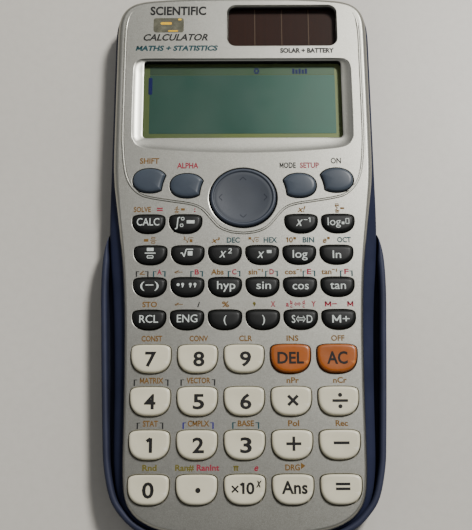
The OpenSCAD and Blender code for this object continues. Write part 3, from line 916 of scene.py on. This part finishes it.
def wall_depth(x, y):
    """Thickness of the wall: thin at the foot of the ramp, where the calculator is widest."""
    if y > RAMP_Y:
        return 0.25 + 1.45 * smooth_step(RAMP_Y, RAMP_Y + 2, y)
    return 1.8 - 1.55 * smooth_step(-4.5, RAMP_Y, y)


def wall(part):
    return inset(case_loop, lambda x, y: part * wall_depth(x, y))


def below_rim(drop):
    return lambda x, y: max(FLOOR_TOP, rim_height(y) - drop)


case_rings = [case.ring(inset(case_loop, d), z)
              for d, z in ((1.2, 0.0), (0.72, 0.06), (0.3, 0.28), (0.07, 0.65), (0.0, 1.1))]
case_rings += [case.ring(wall(part), below_rim(drop)) for part, drop in (
    (0.0, 1.1), (0.03, 0.62), (0.12, 0.32), (0.28, 0.1), (0.48, 0.0), (0.68, 0.06),
    (0.84, 0.26), (0.95, 0.6), (1.0, 1.0))]


def ledge(x, y):
    return min(RAIL_TOP, rim_height(y))


rail_loop = clamped(wall(1.0), RAIL_X)
case_rings += [case.ring(wall(1.0), ledge), case.ring(rail_loop, ledge),
               case.ring(rail_loop, FLOOR_TOP)]
case.skin(case_rings)
case.cap([case_rings[0]])
case.cap([case_rings[-1]])
LIP_X, LIP_L = 34.0, 52.0
for side in (-1, 1):
    lip = rounded(side * (LIP_X + RAIL_X + 0.3) / 2, 0, RAIL_X - LIP_X + 0.3, 2 * LIP_L, 0.6, 5)
    case.block(lip, 3.5, RAIL_TOP - 0.02)
case.make("case_shell", [NAVY_CASE], "hard_case", "navy_case", ("hard_case",), angle=42)

# ---------------------------------------------------------------- display, solar cell, foil

WINDOW_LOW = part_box("display_window")[0].z / MM
PICTURE_Z = WINDOW_LOW - 0.36
PICTURE_W, PICTURE_T = 55.6, 0.04
STATUS_Y = DISPLAY[1] + 10.4
border = Shape()
border.block(rounded(DISPLAY[0], DISPLAY[1], DISPLAY[2] + 1.2, DISPLAY[3] + 1.2, 1.8),
             LCD_TOP + 0.01, PICTURE_Z - 0.05)
border.make("lcd_border", [LCD_EDGE], "calculator", "lcd_glass")
screen = Shape()
screen.block(rounded(0, DISPLAY[1] - 0.7, PICTURE_W, 19.3, 0.3), PICTURE_Z - PICTURE_T, PICTURE_Z)
screen.make("lcd_field", [LCD_FIELD], "calculator", "lcd_glass")
status = Shape()
status.block(rounded(0, STATUS_Y, PICTURE_W, 2.6, 0.2), PICTURE_Z - PICTURE_T, PICTURE_Z)
status.make("lcd_status_row", [LCD_STATUS], "calculator", "lcd_glass")

mask = Shape()
mask_out = rounded(DISPLAY[0], DISPLAY[1], DISPLAY[2] + 1.5, DISPLAY[3] + 1.5, 1.9)
mask_in = rounded(DISPLAY[0], DISPLAY[1], DISPLAY[2] + 0.2, DISPLAY[3] + 0.2, 1.2)
mask_low, mask_top = PICTURE_Z - PICTURE_T, WINDOW_LOW - 0.02
mask_rings = [mask.ring(mask_in, mask_low), mask.ring(mask_in, mask_top),
              mask.ring(mask_out, mask_top), mask.ring(mask_out, mask_low)]
mask.skin(mask_rings + [mask_rings[0]])
mask.make("display_mask", [DARK_LINER], "calculator", "mat_rubber")

lines = Shape()
for i in (-1, 0, 1):
    x = SOLAR[0] + i * SOLAR[2] / 4
    lines.block(rounded(x, SOLAR[1], 0.22, SOLAR[3] + 0.6, 0.05, 2), CELL_TOP, CELL_TOP + 0.03)
lines.make("solar_dividers", [SOLAR_LINE], "calculator", "solar_cell")

foil = Shape()
foil.block(rounded(-22.25, 70.5, 9.2, 4.9, 0.8, 4), FACE_Z + 0.005, FACE_Z + 0.06, round_off=0.02)
foil.make("hologram_sticker", [FOIL], "calculator", "silver_plate")
glints = Shape()
for x, y, w, h in ((-23.0, 71.1, 3.4, 0.85), (-18.9, 72.45, 1.1, 0.6), (-20.9, 68.5, 3.0, 0.45)):
    glints.block(rounded(x, y, w, h, h * 0.45, 4), FACE_Z + 0.055, FACE_Z + 0.07)
glints.make("hologram_glints", [GLINT], "calculator", "silver_plate")

# ---------------------------------------------------------------- lettering

FONT_CAP = 0.686
INK_T = 0.02
STEM = 0.143
# Letters drawn as strokes, in parts of the capital height: advance, then x0 y0 x1 y1
STROKED = {
    "M": (1.06, [(0.16, 0, 0.16, 1), (0.16, 0.96, 0.53, 0.24), (0.53, 0.24, 0.9, 0.96),
                 (0.9, 1, 0.9, 0)]),
    "1": (0.62, [(0.38, 0, 0.38, 1), (0.38, 0.97, 0.12, 0.78)]),
    "π": (0.9, [(0.06, 0.66, 0.84, 0.66), (0.27, 0.6, 0.27, 0), (0.63, 0.6, 0.63, 0)]),
    "⇔": (1.7, [(0.4, 0.34, 1.3, 0.34), (0.4, 0.64, 1.3, 0.64), (0.12, 0.49, 0.5, 0.9),
                (0.12, 0.49, 0.5, 0.08), (1.58, 0.49, 1.2, 0.9), (1.58, 0.49, 1.2, 0.08)]),
}
STROKE_W = {"⇔": 0.08}
letters = {}


def typeset(text, bold=0.0, italic=0.0):
    """The built-in font's mesh of a text, as (points, faces)."""
    data = bpy.data.curves.new("word", "FONT")
    data.body = text
    data.offset = bold
    data.shear = italic
    data.resolution_u = 3
    data.extrude = 0.01
    word = bpy.data.objects.new("word", data)
    bpy.context.scene.collection.objects.link(word)
    mesh = word.evaluated_get(bpy.context.evaluated_depsgraph_get()).to_mesh()
    points = [v.co.copy() for v in mesh.vertices]
    faces = [tuple(p.vertices) for p in mesh.polygons]
    bpy.data.objects.remove(word)
    bpy.data.curves.remove(data)
    return points, faces


def stroke_loop(x0, y0, x1, y1, w):
    length = math.hypot(x1 - x0, y1 - y0)
    ux, uy = (x1 - x0) / length * w / 2, (y1 - y0) / length * w / 2
    return [(x0 - uy, y0 + ux), (x1 - uy, y1 + ux), (x1 + uy, y1 - ux), (x0 + uy, y0 - ux)]


def letter(ch, bold, italic):
    """(points, faces, advance) of one letter, in parts of the capital height."""
    key = (ch, bold, italic)
    if key in letters:
        return letters[key]
    if ch in STROKED:
        advance, strokes = STROKED[ch]
        points, faces = [], []
        for stroke in strokes:
            base = len(points)
            loop = stroke_loop(*stroke, STROKE_W.get(ch, STEM) + 2 * bold / FONT_CAP)
            points += [Vector((x + italic * y, y, z)) for z in (-1, 1) for x, y in loop]
            faces += [tuple(base + i for i in f) for f in (
                (3, 2, 1, 0), (4, 5, 6, 7), (0, 1, 5, 4), (1, 2, 6, 5), (2, 3, 7, 6), (3, 0, 4, 7))]
    else:
        raw, faces = typeset(ch, bold, italic)
        points = [Vector((p.x / FONT_CAP, p.y / FONT_CAP, p.z)) for p in raw]
        between = [max(p.x for p in typeset(t)[0]) for t in ("H" + ch + "H", "HH")]
        advance = (between[0] - between[1]) / FONT_CAP
    letters[key] = points, faces, advance
    return letters[key]


class Print:
    """Ink on one body: words and strokes at a height given by a function of x and y."""

    def __init__(self, height):
        self.shape = Shape()
        self.height = height

    def word(self, ink, text, x, y, cap, width=None, bold=0.0, italic=0.0):
        placed, pen = [], 0.0
        for ch in text:
            if ch == " ":
                pen += 0.4
                continue
            points, faces, advance = letter(ch, bold, italic)
            placed.append(([Vector((p.x + pen, p.y, p.z)) for p in points], faces))
            pen += advance
        low = min(p.x for points, _ in placed for p in points)
        high = max(p.x for points, _ in placed for p in points)
        middle = (low + high) / 2
        stretch = width / (high - low) if width else cap
        for points, faces in placed:
            base = len(self.shape.points)
            for p in points:
                px = x + (p.x - middle) * stretch
                py = y + (p.y - 0.5) * cap
                lift = INK_T if p.z > 0 else 0
                self.shape.points.append((px, py, self.height(px, py) + lift))
            for f in faces:
                self.shape.face([base + i for i in f], INK_NAMES.index(ink))

    def stroke(self, ink, x0, y0, x1, y1, w):
        """A straight ink line with square ends."""
        self.plate(ink, stroke_loop(x0, y0, x1, y1, w))

    def plate(self, ink, loop):
        rings = [self.shape.ring(loop, lambda x, y: self.height(x, y)),
                 self.shape.ring(loop, lambda x, y: self.height(x, y) + INK_T)]
        look = INK_NAMES.index(ink)
        self.shape.skin(rings, look)
        self.shape.cap([rings[0]], look)
        self.shape.cap([rings[1]], look)

    def box(self, ink, x, y, w, h, line=0.0):
        """A filled block, or its border when line is given."""
        if not line:
            self.plate(ink, [(x - w / 2, y - h / 2), (x + w / 2, y - h / 2),
                             (x + w / 2, y + h / 2), (x - w / 2, y + h / 2)])
            return
        r, t = w / 2 - line / 2, h / 2 - line / 2
        for x0, y0, x1, y1 in ((-r, -t, r, -t), (-r, t, r, t)):
            self.stroke(ink, x + x0, y + y0, x + x1, y + y1, line)
        for side in (-r, r):
            self.stroke(ink, x + side, y - t + line / 2, x + side, y + t - line / 2, line)

    def dot(self, ink, x, y, r):
        self.plate(ink, circle(x, y, r, 20))

    def make(self, name, body, slot):
        used = sorted(set(self.shape.looks))
        self.shape.looks = [used.index(i) for i in self.shape.looks]
        return self.shape.make(name, [INKS[INK_NAMES[i]] for i in used], body, slot, tidy=False)


BOLD = 0.004
HEAVY = 0.024
FOUR_HEAVY = 0.02
THIN = 0.028
SLANT = 0.3
DIGIT_CAP, DIGIT_W, DIGIT_1_W, DIGIT_UP = 3.9, 3.1, 1.75, 0.15
# Words on the keys: text, capital height, width, and how far from the legend's centre
WORDS = {
    "calc": ("CALC", 2.2, 6.4, -0.1, 0.05), "log": ("log", 2.3, 4.15, 0.2, -0.35),
    "ln": ("ln", 2.25, 2.35, 0.05, -0.5), "hyp": ("hyp", 2.3, 5.1, 0.4, 0),
    "sin": ("sin", 2.25, 4.05, 0.35, -0.05), "cos": ("cos", 2.3, 4.5, 0.15, -0.15),
    "tan": ("tan", 2.3, 4.4, 0.05, -0.1), "recall": ("RCL", 2.15, 5.2, 0, -0.25),
    "eng": ("ENG", 2.15, 5.65, 0.1, -0.15), "open_bracket": ("(", 2.1, 0.8, 0.1, -0.35),
    "close_bracket": (")", 2.1, 0.8, 0.2, -0.35), "m_plus": ("M+", 2.15, 4.8, 0.55, -0.4),
    "s_d": ("S⇔D", 2.15, 5.7, 0.35, -0.4), "negative": ("(−)", 1.95, 5.15, 0, 0.05),
}
# Other marks, from the legend's centre
COMMA_DX = (-1.25, 0.9, 2.2)
MARKS = {
    "degrees": [("dot", -2.5, 0.15, 0.42)] + [mark for dx in COMMA_DX for mark in (
        ("dot", dx, 0.25, 0.4), ("stroke", dx + 0.2, 0.15, dx - 0.1, -0.65, 0.32))],
    "integral": [("word", "∫", -2.2, -0.1, 2.5, 1.5, BOLD, 0.1),
                 ("box", -0.75, 0.95, 0.95, 0.95, 0.2), ("box", -1.05, -1.05, 0.95, 0.95, 0.2),
                 ("box", 1.5, 0, 2.2, 0.95)],
    "reciprocal": [("word", "x", -0.5, 0.1, 2.9, 2.0, 0, SLANT),
                   ("word", "−1", 1.7, 0.5, 1.4, 1.9, BOLD)],
    "log_base": [("word", "log", -1.1, 0, 2.3, 3.7, 0), ("box", 1.4, -0.5, 0.75, 0.75),
                 ("box", 2.65, 0.1, 1.1, 1.7, 0.2)],
    "fraction": [("box", 0, 1.1, 1.9, 0.95), ("box", 0, 0, 3.0, 0.3),
                 ("box", 0, -1.1, 1.9, 0.95, 0.25)],
    "root": [("path", 0.3, (-1.9, -0.1), (-1.5, 0.1), (-0.95, -1.1), (-0.35, 1.1), (1.6, 1.1)),
             ("box", 0.75, -0.1, 1.3, 1.3)],
    "square": [("word", "x", -0.55, 0.1, 2.9, 2.0, 0, SLANT),
               ("word", "2", 1.4, 0.6, 1.5, 1.15, BOLD, 0.15)],
    "power": [("word", "x", -0.4, -0.1, 2.9, 2.0, 0, SLANT), ("box", 2.0, 0.35, 1.3, 0.9)],
    "times": [("stroke", -1.3, 1.7, 1.3, -0.9, 0.78), ("stroke", -1.3, -0.9, 1.3, 1.7, 0.78)],
    "divide": [("stroke", -2.1, 0.3, 2.1, 0.3, 0.72), ("dot", 0, 1.85, 0.56),
               ("dot", 0, -1.25, 0.56)],
    "plus": [("stroke", -2.0, 0.5, 2.0, 0.5, 0.74), ("stroke", 0, 0.87, 0, 2.4, 0.74),
             ("stroke", 0, 0.13, 0, -1.4, 0.74)],
    "minus": [("stroke", -2.1, 0.7, 2.1, 0.7, 0.74)],
    "equals": [("stroke", -1.9, 1.65, 1.9, 1.65, 0.68), ("stroke", -1.9, 0.4, 1.9, 0.4, 0.68)],
    "point": [("dot", 0, 0.1, 0.7)],
    "exp": [("stroke", -3.8, 1.25, -2.1, -0.45, 0.45), ("stroke", -3.8, -0.45, -2.1, 1.25, 0.45),
            ("word", "10", 0.2, 0.6, 2.9, 3.9, HEAVY),
            ("word", "x", 3.3, 2.1, 2.4, 1.5, HEAVY, SLANT)],
    "del": [("word", "DEL", 0, 0.4, 3.1, 7.2, HEAVY)],
    "ac": [("word", "AC", 0, 0.4, 3.3, 5.6, HEAVY)],
    "ans": [("word", "Ans", 0, 0.8, 3.2, 6.8, HEAVY)],
}
for name, (text, cap, width, dx, dy) in WORDS.items():
    MARKS[name] = [("word", text, dx, dy, cap, width, BOLD)]
for digit in "0123456789":
    MARKS[digit] = [("word", digit, 0, DIGIT_UP, DIGIT_CAP, DIGIT_1_W if digit == "1" else DIGIT_W,
                     FOUR_HEAVY if digit == "4" else HEAVY)]


def put(ink, colour, x, y, marks):
    """Marks of one colour, placed from the point x, y."""
    for what, *place in marks:
        if what == "word":
            text, dx, dy, *form = place
            ink.word(colour, text, x + dx, y + dy, *form)
        elif what == "path":
            w, *corners = place
            for (x0, y0), (x1, y1) in zip(corners, corners[1:]):
                ink.stroke(colour, x + x0, y + y0, x + x1, y + y1, w)
        elif what == "stroke":
            x0, y0, x1, y1, w = place
            ink.stroke(colour, x + x0, y + y0, x + x1, y + y1, w)
        elif what == "box":
            ink.box(colour, x + place[0], y + place[1], *place[2:])
        else:
            ink.dot(colour, x + place[0], y + place[1], place[2])


LEGEND_SHIFT = 0.4
LEGEND_UP = {"dark": 0.35, "number": -0.35}
LEGEND_LIFT = 0.012


def legend(name):
    """Ink on the crown of one key."""
    key = KEYS[name]
    kind = key[2]
    cx, cy = key_centre(key)
    top = key_top(kind) + LEGEND_LIFT
    ink = Print(lambda x, y: top + crown_height(kind, x - cx, y - cy))
    orange = name in ("del", "ac")
    colour = "white" if kind == "dark" else "clear_key" if orange else "key"
    first_column = cx < -1.5 * NUMBER_DX
    shift = LEGEND_SHIFT if kind == "number" and not (orange or first_column) else 0
    put(ink, colour, cx + shift, key[1] + LEGEND_UP[kind], MARKS[name])
    ink.make("legend_" + name, "key_" + name, "dark_key" if kind == "dark" else "ivory_key")


for name, key in KEYS.items():
    if key[2] != "oval":
        legend(name)

# Four small arrowheads on the pad, one towards each side
ARROW_X, ARROW_Y, ARROW_W = 6.6, 5.9, 0.26
arrows = Print(lambda x, y: pad_height(x, y) + 0.01)
for c, s in ((1, 0), (0, 1), (-1, 0), (0, -1)):
    tip = (c * (ARROW_X + 0.3), s * (ARROW_Y + 0.3) + PAD_Y)
    for side in (-1, 1):
        foot = (c * (ARROW_X - 0.6) - s * side * 0.95,
                s * (ARROW_Y - 0.6) + c * side * 0.95 + PAD_Y)
        arrows.stroke("arrow", *foot, *tip, ARROW_W)
arrows.make("pad_arrows", "replay_pad", "pad_plastic")

face = Print(lambda x, y: FACE_Z + 0.004)
LABEL_CAP = 1.5
for title in (
    ("black", "SCIENTIFIC", -19.4, 75.45, 2.75, 17.0, 0.035),
    ("black", "CALCULATOR", -20.1, 66.35, 2.1, 19.4, 0.03, SLANT),
    ("teal", "MATHS + STATISTICS", -19.7, 62.65, 1.6, 24.8, 0.045, 0.2),
    ("black", "SOLAR + BATTERY", 19.5, 61.75, 1.45, 16.2, 0.05),
    ("gold", "SHIFT", -27.1, 25.8, 1.65, 5.6, THIN),
    ("red", "ALPHA", -16.0, 24.3, 1.65, 6.2, THIN),
    ("black", "MODE", 13.0, 24.3, 1.65, 4.7, THIN),
    ("red", "SETUP", 19.3, 24.3, 1.6, 5.5, THIN),
    ("grey", "ON", 27.0, 25.7, 1.65, 3.0, THIN),
):
    face.word(*title)


def label_line(name):
    """Centre of a key and the height of the labels printed above it."""
    x, y, kind, cut = KEYS[name]
    row = {"dark": 1.75, "number": 1.85}[kind]
    return x, y + KINDS[kind][1] / 2 + row


# Words above the keys: key, ink, text, distance from the key's centre line, width and any slant
LABELS = [
    ("calc", "gold", "SOLVE", -1.9, 4.9), ("calc", "red", "=", 3.1, 1.7),
    ("integral", "red", ":", 2.6, 0.5),
    ("reciprocal", "gold", "x!", 0.2, 2.4, SLANT),
    ("square", "gold", "x³", -2.6, 2.5, SLANT), ("square", "teal", "DEC", 2.4, 3.7),
    ("power", "teal", "HEX", 2.4, 3.8),
    ("log", "gold", "10", -2.7, 2.0), ("log", "teal", "BIN", 2.7, 3.3),
    ("ln", "gold", "e", -3.2, 1.1, SLANT), ("ln", "teal", "OCT", 2.3, 3.9),
    ("hyp", "gold", "Abs", -2.1, 3.6), ("sin", "gold", "sin⁻¹", -1.85, 4.1),
    ("cos", "gold", "cos⁻¹", -1.8, 4.7),
    ("tan", "gold", "tan⁻¹", -2.2, 4.4),
    ("degrees", "gold", "←", -2.5, 2.3), ("negative", "gold", "∠", -2.2, 1.5),
    ("recall", "gold", "STO", 0.1, 4.1), ("eng", "gold", "←", -2.3, 2.3),
    ("eng", "black", "i", 3.2, 0.8, SLANT), ("open_bracket", "gold", "%", 0.2, 2.0),
    ("close_bracket", "red", "X", 2.9, 1.3),
    ("s_d", "red", "Y", 3.7, 1.3), ("m_plus", "red", "M−", -2.0, 3.4),
    ("m_plus", "red", "M", 3.4, 1.7),
    ("7", "gold", "CONST", 0.1, 5.7), ("8", "gold", "CONV", 0.3, 5.1),
    ("9", "gold", "CLR", 0.5, 3.6), ("del", "gold", "INS", 0.65, 3.3),
    ("ac", "gold", "OFF", 0.4, 3.7), ("4", "gold", "MATRIX", 0.3, 6.4),
    ("5", "gold", "VECTOR", 0.3, 6.5), ("times", "gold", "nPr", 0.5, 3.4),
    ("divide", "gold", "nCr", 0.6, 3.7), ("1", "gold", "STAT", 0.2, 4.1),
    ("2", "gold", "CMPLX", 0.4, 5.8), ("3", "gold", "BASE", 0.4, 4.4),
    ("plus", "gold", "Pol", 0.5, 3.0), ("minus", "gold", "Rec", 0.7, 3.3),
    ("0", "olive", "Rnd", 0.2, 3.8), ("point", "olive", "Ran#", -3.2, 5.0),
    ("point", "red", "RanInt", 3.0, 6.0), ("exp", "olive", "π", -2.3, 1.4),
    ("exp", "red", "e", 3.1, 1.1, SLANT), ("ans", "gold", "DRG", 0.0, 3.9),
    ("ans", "gold", "▶", 2.8, 1.2),
]
SIGN_CAPS = {"←": 1.0, "∠": 1.4, "▶": 1.2, "=": 1.9, "x!": 1.75, "e": 1.75, "π": 1.75}
for name, ink, text, dx, width, *slant in LABELS:
    x, y = label_line(name)
    up = 0.35 if text == "▶" else 0
    face.word(ink, text, x + dx, y + up, SIGN_CAPS.get(text, LABEL_CAP), width, THIN, *slant)

# Template signs above the upper keys
ROOT_PATH = ((-0.9, 0), (-0.6, 0.1), (-0.3, -0.75), (0.1, 0.75), (1.4, 0.75))
for name, ink, dx, marks in (
    ("integral", "gold", 0, [
        ("word", "d", -2.6, 0.55, 0.95, 0.6, THIN), ("box", -2.5, 0, 1.6, 0.16),
        ("word", "dx", -2.5, -0.65, 0.95, 1.3, THIN, 0.2), ("box", -0.8, 0, 1.1, 0.7)]),
    ("log_base", "gold", 0, [
        ("word", "Σ", -0.1, 0.2, 1.5, 1.3, THIN), ("box", -0.1, 1.4, 1.1, 0.6, 0.2),
        ("box", -0.1, -0.95, 1.1, 0.5, 0.2), ("box", 1.4, 0.2, 1.2, 0.55)]),
    ("fraction", "gold", 0, [
        ("box", -1.3, 0, 1.3, 0.8), ("box", 0.7, -0.65, 1.2, 0.7, 0.2),
        ("box", 0.7, 0.65, 1.2, 0.7, 0.2), ("box", 0.7, 0, 1.9, 0.16)]),
    ("root", "gold", 0.2, [
        ("path", 0.18, *ROOT_PATH), ("word", "3", -1.15, 0.55, 0.95, 0.6, THIN),
        ("box", 0.75, -0.15, 0.8, 0.9)]),
    ("power", "gold", -2.1, [
        ("path", 0.18, *ROOT_PATH), ("box", -1.3, 0.5, 0.8, 0.7),
        ("box", 0.75, -0.15, 0.8, 0.9, 0.18)]),
    ("log", "gold", 0, [("box", -1.2, 0.5, 0.75, 0.75)]),
    ("ln", "gold", 0, [("box", -2.1, 0.5, 0.75, 0.75)]),
    ("close_bracket", "olive", 0, [
        ("dot", -2.3, 0.2, 0.42), ("stroke", -2.0, 0.1, -2.4, -0.6, 0.3)]),
    ("s_d", "red", 0, [
        ("word", "a", -3.6, 0, 1.4, 0.9, THIN),
        ("word", "b", -2.5, 0.6, 0.9, 0.7, THIN), ("box", -2.5, 0, 1.0, 0.15),
        ("word", "c", -2.5, -0.6, 0.9, 0.6, THIN),
        ("word", "d", 0.9, 0.6, 0.9, 0.7, THIN), ("box", 0.9, 0, 1.0, 0.15),
        ("word", "c", 0.9, -0.6, 0.9, 0.6, THIN), ("word", "⇔", -0.8, 0, 1.3, 1.8, THIN)]),
):
    x, y = label_line(name)
    put(face, ink, x + dx, y, marks)


BRACKET_W, TICK_W, TICK_START = 0.38, 0.2, 0.15


def bracket(ink, x0, x1, top, low):
    """Square bracket lines that stand on a key, with a short tick at each top."""
    for x, tick in ((x0, 0.8), (x1, -0.8)):
        face.stroke(ink, x, low, x, top, BRACKET_W)
        start = x + math.copysign(TICK_START, tick)
        face.stroke(ink, start, top - TICK_W / 2, x + tick, top - TICK_W / 2, TICK_W)


for name, mark in zip(DARK_ROWS[2], "ABCDEF"):
    x, y = label_line(name)
    face.word("red", mark, x + 2.65, y, 1.45, 1.25, THIN)
    bracket("teal", x + 1.0, x + 4.2, y + 0.25, y - 1.4)
x, y = label_line("negative")
bracket("black", x - 3.8, x - 0.6, y + 0.25, y - 1.4)
for name, ink, left, right in (
    ("4", "black", -4.4, 4.7), ("5", "black", -4.4, 4.7), ("1", "black", -3.3, 3.5),
    ("2", "purple", -3.7, 4.3), ("3", "teal", -3.1, 3.8),
):
    x, y = label_line(name)
    bracket(ink, x + left, x + right, y + 0.3, y - 1.45)
face.make("face_print", "calculator", "silver_plate")

signs = Print(lambda x, y: PICTURE_Z + 0.005)
signs.shape.block(rounded(-27.6, DISPLAY[1] + 5.3, 1.15, 5.6, 0.3, 2), PICTURE_Z + 0.005,
                  PICTURE_Z + 0.03, INK_NAMES.index("purple"))
signs.box("purple", 4.3, DISPLAY[1] + 10.3, 1.6, 1.9, 0.5)
for i in range(5):
    signs.box("purple", 15.4 + i * 0.95, DISPLAY[1] + 10.2 - 0.15 * (i % 2), 0.66,
              1.7 - 0.3 * (i % 2))
display_signs = signs.make("lcd_signs", "calculator", "lcd_glass")
for slot in display_signs.material_slots:
    slot.material = LCD_INK

# ---------------------------------------------------------------- floor, light, camera

TABLE_SIZE = 6
bpy.ops.mesh.primitive_grid_add(x_subdivisions=8, y_subdivisions=8, size=TABLE_SIZE)
table = bpy.context.object
table.name = "table_top"
table.data.materials.append(floor_paint())


LAMP_AT = Vector((0.56, 0.72, 1.05))
lamp_data = bpy.data.lights.new("window_light", "AREA")
lamp_data.shape = "RECTANGLE"
lamp_data.size, lamp_data.size_y = 0.24, 0.24
lamp_data.energy = 26
lamp_data.color = (1.0, 0.985, 0.96)
lamp = bpy.data.objects.new("window_light", lamp_data)
bpy.context.scene.collection.objects.link(lamp)
lamp.location = LAMP_AT
lamp.rotation_euler = (-LAMP_AT).to_track_quat("-Z", "Y").to_euler()

# Sine of the height above the horizon, and how bright the surroundings are there
SKY = [(0.0, 0.2), (0.3, 0.35), (0.5, 1.0), (0.72, 1.0), (0.86, 0.3), (1.0, 0.07)]
SKY_STRENGTH = 0.5


def studio_world():
    """Soft surroundings: brightest at middle heights, dim overhead and near the floor."""
    world = bpy.data.worlds.new("studio")
    world.use_nodes = True
    nodes, links = world.node_tree.nodes, world.node_tree.links
    parts = nodes.new("ShaderNodeSeparateXYZ")
    links.new(nodes.new("ShaderNodeTexCoord").outputs["Generated"], parts.inputs[0])
    stops = [(height, (level * 0.97, level * 0.98, level, 1)) for height, level in SKY]
    backdrop = nodes["Background"]
    links.new(ramp_node(nodes, links, parts.outputs[2], stops), backdrop.inputs["Color"])
    backdrop.inputs["Strength"].default_value = SKY_STRENGTH
    bpy.context.scene.world = world


studio_world()

CAMERA_TILT = math.radians(18)
CAMERA_ROLL = math.radians(-0.2)
CAMERA_REACH = 302.0
CAMERA_LENS = 72.9
AIM_AT = Vector((-2.1, -6.07 + BODY_Y, FACE_Z))
camera_data = bpy.data.cameras.new("camera")
camera_data.lens = CAMERA_LENS
camera_data.sensor_width = 36
camera_data.clip_start = 0.01
camera = bpy.data.objects.new("camera", camera_data)
bpy.context.scene.collection.objects.link(camera)
back = Vector((0, -math.sin(CAMERA_TILT), math.cos(CAMERA_TILT)))
camera.location = (AIM_AT + back * CAMERA_REACH) * MM
camera.rotation_euler = (Matrix.Rotation(CAMERA_TILT, 3, "X")
                         @ Matrix.Rotation(CAMERA_ROLL, 3, "Z")).to_euler()
bpy.context.scene.camera = camera
